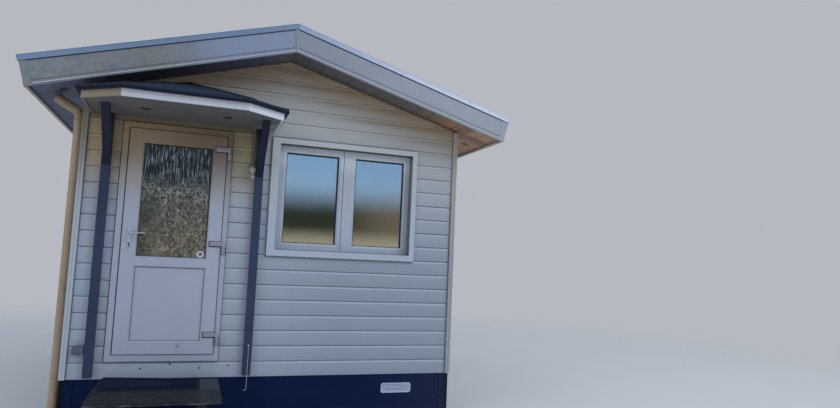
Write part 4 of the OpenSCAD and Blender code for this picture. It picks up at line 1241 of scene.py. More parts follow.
along_y(e1, [RP(u, n) for u, n in ((UE - 0.0175, NLOW - 0.0018), (UE + 0.0036, NLOW - 0.0018), (UE + 0.0040, NLOW + 0.0020), (UE - 0.0175, NLOW + 0.0008))], fy + 0.021, DEPTH - fy - 0.021, mi=1)
ef.merge(e1)
ef.merge(e1.mirrored_x())
ef.obj("eaves_fascia_set", [MAT["fascia"], MAT["lip"]], slot="fascia_board", rep=("eaves_fascias",))

# metal trim along the edges, in lengths with small gaps
rt = MB()
r1 = MB()
tp = [(fy + 0.0002, NTRIM + 0.003), (fy - 0.0065, NTRIM + 0.0004), (fy - 0.0092, NTRIM), (fy - 0.0100, NTRIM + 0.0018), (fy - 0.0088, NTRIM + 0.0045), (fy - 0.0086, NTRIM + 0.0250), (fy - 0.0070, NTRIM + 0.0280), (fy - 0.0070, NMAX - 0.0080), (fy - 0.0088, NMAX - 0.0050),
      (fy - 0.0098, NMAX - 0.0040), (fy - 0.0098, NMAX - 0.0012), (fy - 0.0080, NMAX), (fy - 0.004, NMAX - 0.0002), (fy + 0.050, NMAX - 0.0022), (fy + 0.052, NMAX - 0.0035), (fy + 0.051, NMAX - 0.0060), (fy + 0.0002, NMAX - 0.0060)]
cuts = [None, 0.974 / CP, UE - 0.001]
for a0, a1 in zip(cuts[:-1], cuts[1:]):
    along_slope(r1, tp, a0 if a0 is None else a0 + 0.0015, a1 - 0.0015, t=random.random())
# corner block at the lower end
along_slope(r1, [(fy - 0.0099, NTRIM + 0.0002), (fy - 0.0099, NMAX - 0.0002), (fy + 0.051, NMAX - 0.0002), (fy + 0.051, NMAX - 0.006), (fy + 0.0002, NMAX - 0.006), (fy + 0.0002, NTRIM + 0.0002)], UE - 0.0005, UE + 0.0097, t=0.3)
# dark strip painted as the shadow between the trim and the board below it
along_slope(r1, [(fy - 0.0014, NTRIM - 0.0078), (fy - 0.0014, NTRIM - 0.0004), (fy + 0.0002, NTRIM - 0.0004), (fy + 0.0002, NTRIM - 0.0078)], None, UE - 0.0590, mi=1)
for m_ in (r1, r1.mirrored_x()):
    rt.merge(m_)
    rt.merge(m_.mirrored_y())
# folded cap over the two trims' joint at the ridge
for y_, k_ in ((fy, 1), (DEPTH - fy, -1)):
    pts = [(-0.011, NTRIM + 0.001), (0.0, NTRIM + 0.001), (0.011, NTRIM + 0.001), (0.011, NMAX - 0.0004), (0.0, NMAX - 0.0002), (-0.011, NMAX - 0.0004)]
    vs0 = [(x_, y_ - k_ * 0.0099, APEX + n_ / CP - abs(x_) * TP) for x_, n_ in pts]
    vs1 = [(x_, y_ + k_ * 0.0495, APEX + n_ / CP - abs(x_) * TP) for x_, n_ in pts]
    lo = [(x_, y_ - k_ * 0.0072, APEX + n_ / CP - abs(x_) * TP) for x_, n_ in pts]
    rt.add(vs0 + lo, [(5, 4, 3, 2, 1, 0), (6, 7, 8, 9, 10, 11)] + [(i, (i + 1) % 6, 6 + (i + 1) % 6, 6 + i) for i in range(6)], t=0.1)
    bev_box(rt, 0.0015, 0.0045, min(y_ - k_ * 0.0100, y_ - k_ * 0.0080), max(y_ - k_ * 0.0100, y_ - k_ * 0.0080), APEX + NTRIM / CP + 0.0015, APEX + NMAX / CP - 0.0025, 0.0, mi=1)
r2 = MB()
tu = [(UE + 0.0002 + (fy + 0.0002 - p[0]), p[1]) for p in tp]
ya, yb = fy + 0.0535, DEPTH - fy - 0.0535
for a0, a1 in ((ya, 0.99), (0.993, 3.81), (3.813, yb)):
    along_y(r2, [RP(u, n) for u, n in tu], a0, a1, t=random.random())
rt.merge(r2)
rt.merge(r2.mirrored_x())
rt.obj("roof_trim_set", [MAT["roof_metal"], MAT["shade"]], slot="roof_trim", rep=("roof_trims",), auto=30)

# felt: three courses a slope with laps, turned up at the edges
rf = MB()
f1 = MB()
NS = 0.2065
g0, g1 = fy + 0.0205, DEPTH - fy - 0.0205
lap1, lap2 = 0.42, 1.33
prof = [(0.0, NS + 0.0130)]
for u_, n_ in ((lap1 - 0.004, NS + 0.0125), (lap1, NS + 0.0105), (lap1, NS + 0.0090), (lap2 - 0.004, NS + 0.0090), (lap2, NS + 0.0075), (lap2, NS + 0.0057), (UE - 0.11, NS + 0.0057), (UE - 0.055, 0.2342), (UE - 0.0008, 0.2342), (UE - 0.0008, NS + 0.0002), (0.0, NS + 0.0002)):
    prof.append((u_, n_))
pp = []
for u_, n_ in prof:
    uu = -n_ * TP + 0.0005 if u_ == 0.0 else u_
    pp.append(RP(uu, n_))


def felt_wob(x, y, z):
    return (0.0, 0.0016 * nz(x * 2.2, y * 2.2, 0, 3))


along_y(f1, pp, g0, g1, step=0.22, wob=felt_wob, t=0.5)
# seams of bitumen along the laps
for lap, nn in ((lap1, NS + 0.0097), (lap2, NS + 0.0065)):
    k = 60
    path = [RP(lap + 0.0035 + 0.004 * nz(0, i * 0.9, lap, 4), nn) for i in range(k + 1)]
    pts3 = [(path[i][0], g0 + (g1 - g0) * i / k, path[i][1]) for i in range(k + 1)]
    tube(f1, pts3, [0.0034 + 0.0012 * nz(i * 0.7, lap, 1, 6) for i in range(k + 1)], 6, mi=1)
kant = [(fy + 0.0005, NS + 0.0005), (fy + 0.0005, 0.2342), (fy + 0.054, 0.2342), (fy + 0.125, NS + 0.0115), (fy + 0.140, NS + 0.0077), (fy + 0.140, NS + 0.0005)]
along_slope(f1, kant, None, UE - 0.0012, step=0.25, t=0.35)
ky = [(DEPTH - y, n) for y, n in kant]
along_slope(f1, ky, None, UE - 0.0012, step=0.25, t=0.65)
rf.merge(f1)
rf.merge(f1.mirrored_x())
rf.obj("felt_covering", [MAT["felt"], MAT["felt_seam"]], slot="roof_felt", rep=("roof_felt",), auto=40)

# soffits: double planks with a deep and a shallow groove by turns
sf = MB()
s1 = MB()


def grooved(a0, a1, pitch, first, deep0=True, lo=0.0, hi=0.0115):
    """Closed (a, n) outline whose underside has V grooves."""
    pts = [(a0, hi), (a0, lo)]
    k = 0
    a = first
    while a < a1 - 0.004:
        if a > a0 + 0.004:
            d, h = (0.0034, 0.0062) if (k % 2 == 0) == deep0 else (0.0022, 0.0026)
            pts += [(a - d, lo), (a, lo + h), (a + d, lo)]
        a += pitch
        k += 1
    pts += [(a1, lo), (a1, hi)]
    return pts


def groove_fill(a0, a1, pitch, first, deep0=True):
    """Dirt that fills each groove nearly to the face."""
    out = []
    k = 0
    a = first
    while a < a1 - 0.004:
        if a > a0 + 0.004:
            w, h = (0.0029, 0.0052) if (k % 2 == 0) == deep0 else (0.0014, 0.0017)
            out.append([(a - w, 0.0003), (a + w, 0.0003), (a, h)])
        a += pitch
        k += 1
    return out


ua, ub = 0.0, UE - 0.0205
gp = grooved(0.0, ub, 0.142 / CP, 0.142 / CP, deep0=False)


def ridge_rp(u, n):
    return RP(-n * TP + 0.0006, n) if u == 0.0 else RP(u, n)


along_y(s1, [ridge_rp(u, n) for u, n in gp], fy + 0.0205, -0.0390, t=0.4)
along_y(s1, [ridge_rp(u, n) for u, n in gp], DEPTH + 0.0390, DEPTH - fy - 0.0205, t=0.4)
for g_ in groove_fill(0.0, ub, 0.142 / CP, 0.142 / CP, False):
    along_y(s1, [RP(u, n) for u, n in g_], fy + 0.0206, -0.0391, mi=2)
    along_y(s1, [RP(u, n) for u, n in g_], DEPTH + 0.0391, DEPTH - fy - 0.0206, mi=2)
for y0_, y1_ in ((-0.0394, -0.0330), (DEPTH + 0.0330, DEPTH + 0.0394)):
    along_slope(s1, [(y0_, 0.0012), (y1_, 0.0012), (y1_, 0.0112), (y0_, 0.0112)], None, ub, mi=2)
for y0_, y1_ in ((-0.0332, -0.0266), (DEPTH + 0.0266, DEPTH + 0.0332)):
    along_slope(s1, [(y0_, 0.0012), (y1_, 0.0012), (y1_, 0.0112), (y0_, 0.0112)], HALF / CP - 0.031, ub, mi=2)
ep = grooved(-0.0270, DEPTH + 0.0270, 0.142, 0.124)
along_slope(s1, ep, HALF / CP - 0.03, ub, t=0.6)
for g_ in groove_fill(-0.0270, DEPTH + 0.0270, 0.142, 0.124):
    along_slope(s1, g_, HALF / CP - 0.029, ub - 0.0005, mi=2)
cp_ = grooved(0.0, HALF / CP - 0.032, 0.142 / CP, 0.142 / CP, deep0=False)
along_y(s1, [ridge_rp(u, n) for u, n in cp_], 0.0200, DEPTH - 0.0200, t=0.5, mi=1)
along_y(s1, [ridge_rp(u, n) for u, n in cp_], -0.0334, 0.0198, t=0.4)
along_y(s1, [ridge_rp(u, n) for u, n in cp_], DEPTH - 0.0198, DEPTH + 0.0334, t=0.4)
sf.merge(s1)
sf.merge(s1.mirrored_x())
sf.obj("soffit_planks", [MAT["soffit"], MAT["ceiling"], MAT["soffit_joint"]], slot="soffit_panel", rep=("soffits",))

for n_ in ("roof_left", "roof_right"):
    o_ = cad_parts[n_]
    o_.data.materials.clear()
    o_.data.materials.append(MAT["roof_core"])


def spotlight(mb, p, nrm, r):
    """Ring that stands a few millimetres down, with a lens set back in it."""
    lathe(mb, [(r * 0.70, 0.0), (r, 0.0), (r, 0.0016), (r * 0.97, 0.0026), (r * 0.86, 0.0032), (r * 0.78, 0.0028), (r * 0.72, 0.0012)], p, nrm, 40, 0)
    lathe(mb, [(0, -0.0005), (r * 0.74, -0.0005), (r * 0.73, 0.0006), (r * 0.4, 0.0012), (0, 0.0014)], p, nrm, 32, 1)


sp = MB()
sa = MB()
for u_, y_, s_ in ((2.081, 0.244, 1), (2.008, -0.070, -1)):
    x_, z_ = RP(u_, -0.0002)
    spotlight(sa, (s_ * x_, y_, z_), (-s_ * SP, 0, -CP), 0.040)
sp.merge(sa)
sp.merge(sa.turned())
sp.obj("eaves_lights", [MAT["spot"], MAT["lens"]], slot="spotlight", rep=("eaves_spotlights",))

# ------------------------------------------------------------------ window
wt_ = MB()
OUT = (-0.126, 1.359, 1.580, 2.724)
INN = (-0.050, 1.306, 1.640, 2.670)
frame_sweep(wt_, OUT, INN, [(0.0, 0.0195), (0.0, -0.026), (0.03, -0.0295), (0.06, -0.030), (0.93, -0.030), (0.97, -0.0292), (1.0, -0.027), (1.0, -0.0005), (0.15, 0.0195)], t=0.5)
# lining of the reveal
rect_sweep(wt_, (WIN[0], WIN[1], WIN[2], WIN[3]), [(0.0, 0.0200), (0.0102, -0.0270), (0.0105, -0.026), (0.0100, 0.0755), (0.0, 0.0755)], mi=1, t=0.4)
wt_.obj("window_surround", [MAT["trim"], MAT["reveal"]], slot="white_trim", rep=("window_trim",))

SL, SR = (-0.044, 0.604), (0.660, 1.302)
SZ = (1.646, 2.664)
GL, GR = (0.030, 0.556), (0.731, 1.247)
GZ = (1.716, 2.606)
wf = MB()
# outer frame with a stepped face, and the middle post with its cover strip
rect_sweep(wf, (WIN[0] + 0.001, WIN[1] - 0.001, WIN[2] + 0.001, WIN[3] - 0.001), [(0.0, 0.0762), (0.0, 0.1460), (0.026, 0.1460), (0.026, 0.1390), (0.0135, 0.1385), (0.0135, 0.0800), (0.0125, 0.0768)], t=0.5)
bev_box(wf, 0.6062, 0.6575, 0.0842, 0.1460, WIN[2] + 0.014, WIN[3] - 0.014, 0.002, 2, 0)
bev_box(wf, 0.6082, 0.6660, 0.0768, 0.0779, SZ[0] + 0.001, SZ[1] - 0.001, 0.0004, 1, 0)
bev_box(wf, 0.6082, 0.6590, 0.0779, 0.0842, SZ[0] + 0.001, SZ[1] - 0.001, 0.0, 1, 0)
# dark strip at the cover strip's left edge, painted as the shadow there
bev_box(wf, 0.6041, 0.6080, 0.0835, 0.0860, SZ[0], SZ[1], 0.0, 1, 1)
wf.obj("window_outer_frame", [MAT["wpvc"], MAT["gasket"]], slot="white_plastic", rep=("window_frame",))

ws = MB()
for s_, g_ in ((SL, GL), (SR, GR)):
    rect = (s_[0], s_[1], SZ[0], SZ[1])
    inn = (g_[0], g_[1], GZ[0], GZ[1])
    # moulded sash: rounded outer edge, flat face, bead that slopes to the glass
    frame_sweep(ws, rect, inn, [(0.0, 0.0800), (0.02, 0.0786), (0.06, 0.0780), (0.70, 0.0780), (0.735, 0.0792), (0.76, 0.0822), (0.90, 0.0850), (0.985, 0.0880), (1.0, 0.0900),
                                (1.0, 0.1350), (0.0, 0.1360)], t=0.5)
    # gasket round the glass; the wider band at the head and the right is painted shade
    gi = (inn[0] + 0.0060, inn[1] - 0.0165, inn[2] + 0.0060, inn[3] - 0.0165)
    frame_sweep(ws, (inn[0] - 0.0008, inn[1] + 0.0008, inn[2] - 0.0008, inn[3] + 0.0008), gi, [(0.0, 0.0905), (0.0, 0.0962), (1.0, 0.0962), (1.0, 0.0950), (0.75, 0.0932), (0.2, 0.0905)], mi=1)
    # hairline between sash and frame
    rect_sweep(ws, (rect[0] - 0.0014, rect[1] + 0.0014, rect[2] - 0.0014, rect[3] + 0.0014), [(0.0, 0.0835), (0.0, 0.0880), (0.0022, 0.0880), (0.0022, 0.0835)], mi=1)
ws.obj("window_sash_pair", [MAT["wpvc"], MAT["gasket"]], slot="white_plastic", rep=("window_sashes",))

wg = MB()
for g_ in (GL, GR):
    x0, x1 = g_[0] + 0.0005, g_[1] - 0.0005
    z0, z1 = GZ[0] + 0.0005, GZ[1] - 0.0005
    for y0, y1 in ((0.0965, 0.1005), (0.1155, 0.1195)):
        bev_box(wg, x0, x1, y0, y1, z0, z1, 0.0005, 1, 0)
    rect_sweep(wg, (x0 + 0.0005, x1 - 0.0005, z0 + 0.0005, z1 - 0.0005), [(0.0, 0.1008), (0.0, 0.1152), (0.0115, 0.1152), (0.0118, 0.1080), (0.0115, 0.1008)], mi=1)
wg.obj("window_panes", [MAT["glass"], MAT["spacer"]], slot="clear_glass", rep=("window_glass",))

# ------------------------------------------------------------------ door
df = MB()
DO = (DOOR[0] + 0.0005, DOOR[1] - 0.0005, DOOR[2] + 0.0005, DOOR[3] - 0.0005)
DI = (-1.390, -0.538, 0.660, 2.677)
frame_sweep(df, DO, DI, [(0.0, 0.0595), (0.0, -0.0180), (0.04, -0.0200), (0.30, -0.0200), (0.33, -0.0185), (0.37, -0.0185), (0.40, -0.0200), (0.90, -0.0200), (0.97, -0.0190), (1.0, -0.0165), (1.0, 0.0345), (0.72, 0.0355), (0.72, 0.0595)], t=0.5)
# dark strips in the gaps beside the boards at the hinge side and the lock side, painted as the shadow in them
for xa in (DO[0] - 0.0062, DO[1] + 0.0004):
    bev_box(df, xa, xa + 0.0058, 0.0040, 0.0190, DO[2] + 0.002, DO[3], 0.0, 1, 1)
# stop with its seal
rect_sweep(df, (DI[0] - 0.001, DI[1] + 0.001, DI[2] - 0.001, DI[3] + 0.001), [(0.0, 0.0352), (0.0, 0.0592), (0.0150, 0.0592), (0.0155, 0.0370), (0.0145, 0.0352)], t=0.5)
rect_sweep(df, (DI[0] + 0.006, DI[1] - 0.006, DI[2] + 0.006, DI[3] - 0.006), [(0.0, 0.0318), (0.0, 0.0350), (0.0060, 0.0350), (0.0052, 0.0322), (0.0026, 0.0310)], mi=1)
# drip sill
bev_box(df, DO[0] + 0.004, DO[1] - 0.004, -0.0205, 0.0560, 0.6005, 0.6065, 0.0012, 1, 2)
df.obj("door_casing", [MAT["pvc"], MAT["gasket"], MAT["satin"]], slot="white_plastic", rep=("door_frame",))

LX = (-1.381, -0.543)
LZ = (0.665, 2.672)
GX = (-1.254, -0.666)
GZD = (1.528, 2.547)
PZ = (0.784, 1.433)
LY = -0.035
dl = MB()
# stiles and rails, each a moulded length with its own face
face = lambda a0, a1, b0, b1, axis: None
outer = (LX[0], LX[1], LZ[0], LZ[1])


def leaf_part(mb, x0, x1, z0, z1, t):
    bev_box(mb, x0, x1, LY + 0.0006, 0.0298, z0, z1, 0.0012, 1, 0, t=t)


leaf_part(dl, LX[0], GX[0] - 0.012, LZ[0], LZ[1], 0.5)
leaf_part(dl, GX[1] + 0.012, LX[1], LZ[0], LZ[1], 0.5)
leaf_part(dl, GX[0] - 0.0125, GX[1] + 0.0125, GZD[1] + 0.012, LZ[1], 0.55)
leaf_part(dl, GX[0] - 0.0125, GX[1] + 0.0125, PZ[1] + 0.012, GZD[0] - 0.012, 0.45)
leaf_part(dl, GX[0] - 0.0125, GX[1] + 0.0125, LZ[0], PZ[0] - 0.012, 0.5)
for z0, z1 in (GZD, PZ):
    # glazing beads outside and inside
    rect_sweep(dl, (GX[0] - 0.0125, GX[1] + 0.0125, z0 - 0.0125, z1 + 0.0125),
               [(0.0, 0.0290), (0.0, LY + 0.0012), (0.0012, LY), (0.0035, LY), (0.0055, LY + 0.0012), (0.0110, LY + 0.0085), (0.0125, LY + 0.0120), (0.0125, 0.0065), (0.0110, 0.0225), (0.0060, 0.0285)], t=0.5)
    # dark gasket round each pane, wider at the head and the right of the upper glass as painted shade
    w_ = 0.0095 if z0 > 1.5 else 0.0035
    frame_sweep(dl, (GX[0] - 0.0005, GX[1] + 0.0005, z0 - 0.0005, z1 + 0.0005), (GX[0] + 0.0035, GX[1] - w_, z0 + 0.0035, z1 - w_), [(0.0, LY + 0.0130), (0.0, LY + 0.0178), (1.0, LY + 0.0178), (0.85, LY + 0.0150)], mi=1)
# outer moulding line round the leaf
rect_sweep(dl, (LX[0] - 0.0004, LX[1] + 0.0004, LZ[0] - 0.0004, LZ[1] + 0.0004), [(0.0, LY + 0.004), (0.0016, LY), (0.0060, LY - 0.0002), (0.0068, LY + 0.0012), (0.0068, LY + 0.004)], t=0.5)
dl.obj("door_leaf_frame", [MAT["pvc"], MAT["gasket"]], body="door", slot="white_plastic", rep=("door_leaf",))

dp = MB()
# flat panel, a little hollow in the middle as the thin skin is
PA_ = (GX[0] + 0.0005, GX[1] - 0.0005, PZ[0] + 0.0005, PZ[1] - 0.0005)
for y_, k_ in ((LY + 0.0180, 1), (LY + 0.0420, -1)):
    n_ = 8
    g_ = [[(PA_[0] + (PA_[1] - PA_[0]) * i / n_, y_ + k_ * 0.0012 * math.sin(math.pi * i / n_) * math.sin(math.pi * j / n_), PA_[2] + (PA_[3] - PA_[2]) * j / n_) for i in range(n_ + 1)] for j in range(n_ + 1)]
    if k_ > 0:
        front_ = g_
    else:
        back_ = g_
vs = [q for row in front_ for q in row] + [q for row in back_ for q in row]
n_ = 8
m_ = (n_ + 1) * (n_ + 1)
fs = []
for j in range(n_):
    for i in range(n_):
        a = j * (n_ + 1) + i
        fs += [(a, a + 1, a + n_ + 2, a + n_ + 1), (m_ + a + n_ + 1, m_ + a + n_ + 2, m_ + a + 1, m_ + a)]
for i in range(n_):
    a, b_ = i, n_ * (n_ + 1) + i
    fs += [(a + 1, a, m_ + a, m_ + a + 1), (b_, b_ + 1, m_ + b_ + 1, m_ + b_)]
    a, b_ = i * (n_ + 1), i * (n_ + 1) + n_
    fs += [(a, a + n_ + 1, m_ + a + n_ + 1, m_ + a), (b_ + n_ + 1, b_, m_ + b_, m_ + b_ + n_ + 1)]
dp.add(vs, fs, 0, True)
dp.obj("door_lower_panel", [MAT["pvc"]], body="door", slot="white_plastic", rep=("door_panel",))

dg = MB()


def relief(x, z):
    """Depth of the pattern rolled into the pane: streaks above, cells below."""
    a = 0.00055 * nz(x * 62.0, 3.3, z * 8.0, 1) + 0.00030 * nz(x * 130.0, 1.0, z * 17.0, 2)
    b_ = 0.00065 * nz(x * 44.0, 0.0, z * 36.0, 3) + 0.00035 * nz(x * 88.0, 0.0, z * 70.0, 4)
    k_ = min(1.0, max(0.0, (z - 2.12 + 0.15 * nz(x * 5, 0, z * 5, 5)) / 0.16))
    return a * k_ + b_ * (1 - k_)


def patterned_pane(mb, x0, x1, z0, z1, yf, yb, step):
    """Pane with its pattern on the outer face; the inner face is flat."""
    na, nc = int((x1 - x0) / step), int((z1 - z0) / step)
    vs = []
    for j in range(nc + 1):
        for i in range(na + 1):
            x, z = x0 + (x1 - x0) * i / na, z0 + (z1 - z0) * j / nc
            e_ = min(1.0, min(i, na - i, j, nc - j) / 2.0)
            vs.append((x, yf + e_ * relief(x, z), z))
    fs = [(j * (na + 1) + i, j * (na + 1) + i + 1, (j + 1) * (na + 1) + i + 1, (j + 1) * (na + 1) + i) for j in range(nc) for i in range(na)]
    loop = [i for i in range(na + 1)] + [j * (na + 1) + na for j in range(1, nc + 1)] + [nc * (na + 1) + i for i in range(na - 1, -1, -1)] + [j * (na + 1) for j in range(nc - 1, 0, -1)]
    o_ = len(vs)
    vs += [(vs[q][0], yb, vs[q][2]) for q in loop]
    n_ = len(loop)
    fs += [(loop[q], o_ + q, o_ + (q + 1) % n_, loop[(q + 1) % n_]) for q in range(n_)]
    fs.append(tuple(o_ + q for q in range(n_)))
    mb.add(vs, fs, 0, True)


patterned_pane(dg, GX[0] + 0.0005, GX[1] - 0.0005, GZD[0] + 0.0005, GZD[1] - 0.0005, LY + 0.0186, LY + 0.0226, 0.0050)
bev_box(dg, GX[0] + 0.0005, GX[1] - 0.0005, LY + 0.0378, LY + 0.0418, GZD[0] + 0.0005, GZD[1] - 0.0005, 0.0005, 1, 3)
rect_sweep(dg, (GX[0] + 0.001, GX[1] - 0.001, GZD[0] + 0.001, GZD[1] - 0.001), [(0.0, LY + 0.0225), (0.0, LY + 0.0375), (0.0115, LY + 0.0375), (0.0118, LY + 0.0300), (0.0115, LY + 0.0225)], mi=1)
# small blank badge on the glass
lathe(dg, [(0, 0.0), (0.030, 0.0), (0.0318, 0.0010), (0.0318, 0.0018), (0.0295, 0.0026), (0.0190, 0.0026), (0.0180, 0.0016), (0, 0.0016)], (-0.713, LY + 0.0180, 1.565), (0, -1, 0), 36, 2)
lathe(dg, [(0, 0.0017), (0.0176, 0.0017), (0.0172, 0.0021), (0, 0.0023)], (-0.713, LY + 0.0180, 1.565), (0, -1, 0), 36, 4)
dg.obj("door_pane", [MAT["door_glass"], MAT["spacer"], MAT["bead"], MAT["clear"], MAT["badge"]], body="door", slot="obscured_glass", rep=("door_glass",))

HX, HY = -0.520, -0.052
HZ = (2.453, 1.572, 0.745)
hl = MB()
hf = MB()
for z in HZ:
    # arm on the leaf, on a dark plate painted as its shadow outline
    bev_box(hl, LX[1] - 0.1035, LX[1] - 0.0004, LY - 0.0034, LY - 0.0001, z + 0.0635, z + 0.1195, 0.0008, 1, 1)
    bev_box(hl, LX[1] - 0.097, LX[1] - 0.0015, LY - 0.0085, LY - 0.0002, z + 0.0725, z + 0.1145, 0.0022, 2, 0, sm=False)
    bev_box(hl, LX[1] - 0.0935, LX[1] - 0.040, LY - 0.0105, LY - 0.0080, z + 0.0765, z + 0.1105, 0.0012, 1, 0)
    pts = [(LX[1] - 0.004, LY - 0.0075), (HX - 0.004, HY - 0.0045), (HX - 0.004, HY + 0.0045), (LX[1] - 0.010, LY - 0.0002)]
    prism(hl, pts, lambda p, z=z: (p[0], p[1], z + 0.0735), lambda p, z=z: (p[0], p[1], z + 0.1135), 0.001)
    for dx in (0.020, 0.050, 0.080):
        lathe(hl, [(0, 0.0), (0.0042, 0.0), (0.0042, 0.0022), (0.0034, 0.0030), (0, 0.0032)], (LX[1] - dx - 0.006, LY - 0.0100, z + 0.0935), (0, -1, 0), 16, 0)
    # knuckles with their caps
    lathe(hl, [(0.0052, 0.0590), (0.0093, 0.0590), (0.0100, 0.0597), (0.0100, 0.1110), (0.0088, 0.1140), (0.0052, 0.1148)], (HX, HY, z), (0, 0, 1), 28, 0)
    lathe(hl, [(0, 0.1070), (0.0052, 0.1070), (0.0052, 0.1146), (0.0044, 0.1158), (0, 0.1160)], (HX, HY, z), (0, 0, 1), 20, 0)
    lathe(hf, [(0, 0.0), (0.0052, 0.0), (0.0088, 0.0008), (0.0100, 0.0038), (0.0100, 0.0574), (0.0093, 0.0580), (0.0049, 0.0580), (0.0049, 0.1045), (0.0040, 0.1052), (0, 0.1052)], (HX, HY, z), (0, 0, 1), 28, 0)
    lathe(hf, [(0.0050, 0.0580), (0.0096, 0.0580), (0.0096, 0.0588), (0.0050, 0.0588)], (HX, HY, z), (0, 0, 1), 28, 1)
    bev_box(hf, HX - 0.0075, HX + 0.0075, HY + 0.002, -0.0205, z + 0.002, z + 0.056, 0.0015, 1, 0)
    # dark plate painted as the shadow outline round the frame's leaf
    bev_box(hf, HX - 0.0140, HX + 0.0285, -0.0218, -0.0202, z - 0.0040, z + 0.0620, 0.0006, 1, 1)
    bev_box(hf, HX - 0.0140, HX + 0.0240, -0.0250, -0.0202, z + 0.0005, z + 0.0575, 0.0018, 2, 0)
    for dz in (0.014, 0.043):
        lathe(hf, [(0, 0.0), (0.0038, 0.0), (0.0038, 0.0012), (0.0030, 0.0020), (0, 0.0021)], (HX + 0.0165, -0.0248, z + dz), (0, -1, 0), 14, 0)
hl.obj("hinge_leaves", [MAT["hinge"], MAT["sensor_dark"]], body="door", slot="hinge_grey", rep=("door_hinges",))
hf.obj("hinge_posts", [MAT["hinge"], MAT["sensor_dark"]], slot="hinge_grey", rep=("frame_hinges",))

KX, KZ = -1.318, 1.730
hp = MB()


def rounded_rect(cx, cz, w_, h_, r, k=5):
    pts = []
    for sx, sz, a0 in ((1, 1, 0), (-1, 1, 90), (-1, -1, 180), (1, -1, 270)):
        for i in range(k + 1):
            a = math.radians(a0 + 90 * i / k)
            pts.append((cx + sx * (w_ / 2 - r) + r * math.cos(a), cz + sz * (h_ / 2 - r) + r * math.sin(a)))
    return pts


def plate(mb, cx, cz, w_, h_, r, y0, y1, edge=0.0015, mi=0, sm=True):
    """Rounded plate with a softened front edge. y0 is the back and y1 the front."""
    k = 1 if y1 > y0 else -1
    rings = [[(x, y0, z) for x, z in rounded_rect(cx, cz, w_, h_, r)],
             [(x, y1 - k * edge, z) for x, z in rounded_rect(cx, cz, w_, h_, r)],
             [(x, y1 - k * edge * 0.3, z) for x, z in rounded_rect(cx, cz, w_ - edge * 1.2, h_ - edge * 1.2, max(0.0005, r - edge * 0.6))],
             [(x, y1, z) for x, z in rounded_rect(cx, cz, w_ - edge * 2.4, h_ - edge * 2.4, max(0.0004, r - edge * 1.2))]]
    sweep(mb, rings, mi=mi, sm=sm)


for side in (0, 1):
    y0 = LY if side == 0 else 0.030
    k = -1 if side == 0 else 1
    plate(hp, KX, KZ - 0.039, 0.030, 0.202, 0.006, y0 + k * 0.0002, y0 + k * 0.0080, 0.0020)
    lathe(hp, [(0.0108, 0.0), (0.0135, 0.0), (0.0135, 0.0020), (0.0122, 0.0036), (0.0108, 0.0036)], (KX, y0 + k * 0.0078, KZ), (0, k, 0), 28, 0)
    # lock cylinder, with its slot
    lathe(hp, [(0, 0.0), (0.0092, 0.0), (0.0092, 0.0020), (0.0084, 0.0030), (0, 0.0030)], (KX, y0 + k * 0.0078, KZ - 0.096), (0, k, 0), 26, 1)
    bev_box(hp, KX - 0.0009, KX + 0.0009, min(y0 + k * 0.0102, y0 + k * 0.0112), max(y0 + k * 0.0102, y0 + k * 0.0112), KZ - 0.101, KZ - 0.091, 0.0, mi=0)
    bev_box(hp, KX - 0.0048, KX + 0.0048, min(y0 + k * 0.0070, y0 + k * 0.0100), max(y0 + k * 0.0070, y0 + k * 0.0100), KZ - 0.1230, KZ - 0.104, 0.001, 1, 1)
    for dz in (0.050, -0.128):
        lathe(hp, [(0, 0.0), (0.0036, 0.0), (0.0036, 0.0006), (0.0020, 0.0012), (0, 0.0006)], (KX, y0 + k * 0.0078, KZ + dz), (0, k, 0), 14, 1)
hp.obj("handle_plates", [MAT["plate"], MAT["spot"]], body="door", slot="satin_metal", rep=("handle_plate",))

dh = MB()
for side in (0, 1):
    k = -1 if side == 0 else 1
    y0 = LY if side == 0 else 0.030
    yl = y0 + k * 0.052
    # neck, then a lever that bends over and runs to its rounded end
    path = [(KX, y0 - k * 0.014, KZ)] + [(KX, y0 + k * 0.030, KZ)]
    for i in range(1, 7):
        a = math.radians(15 * i)
        path.append((KX + 0.022 * (1 - math.cos(a)), y0 + k * (0.030 + 0.022 * math.sin(a)), KZ))
    for i in range(1, 9):
        path.append((KX + 0.022 + (0.132 - 0.022 - 0.006) * i / 8, yl, KZ + 0.0015 * math.sin(math.pi * i / 8)))
    path += [(KX + 0.1290, yl, KZ), (KX + 0.1315, yl, KZ)]
    rr = [0.0085, 0.0085] + [0.0088] * 6 + [0.0088, 0.0088, 0.0086, 0.0085, 0.0084, 0.0083, 0.0083, 0.0082] + [0.0066, 0.0030]
    tube(dh, path, rr, 18)
    lathe(dh, [(0, 0.0), (0.0098, 0.0), (0.0098, 0.0120), (0.0090, 0.0135), (0, 0.0135)], (KX, y0 + k * 0.0082, KZ), (0, k, 0), 24, 1)
dh.obj("lever_pair", [MAT["satin"], MAT["sensor_dark"]], body="lever", slot="satin_metal", rep=("door_handle",))


def screw_eye_mesh(mb, c, axis_to_wall, ring_axis, R=0.011, r=0.0025):
    """Ring that stands on a short shank; axis_to_wall points into the wood."""
    c = Vector(c)
    d = Vector(axis_to_wall)
    ra = Vector(ring_axis)
    s = ra.cross(d).normalized()
    pts = [c + (d * math.cos(a) + s * math.sin(a)) * R for a in (2 * math.pi * i / 32 for i in range(32))]
    tube(mb, [tuple(p) for p in pts], r, 10, closed=True)
    lathe(mb, [(0, 0.0103), (0.0023, 0.0103), (0.0023, 0.0134), (0.0058, 0.0137), (0.0060, 0.0149), (0, 0.0149)], tuple(c), tuple(d), 18, 0)


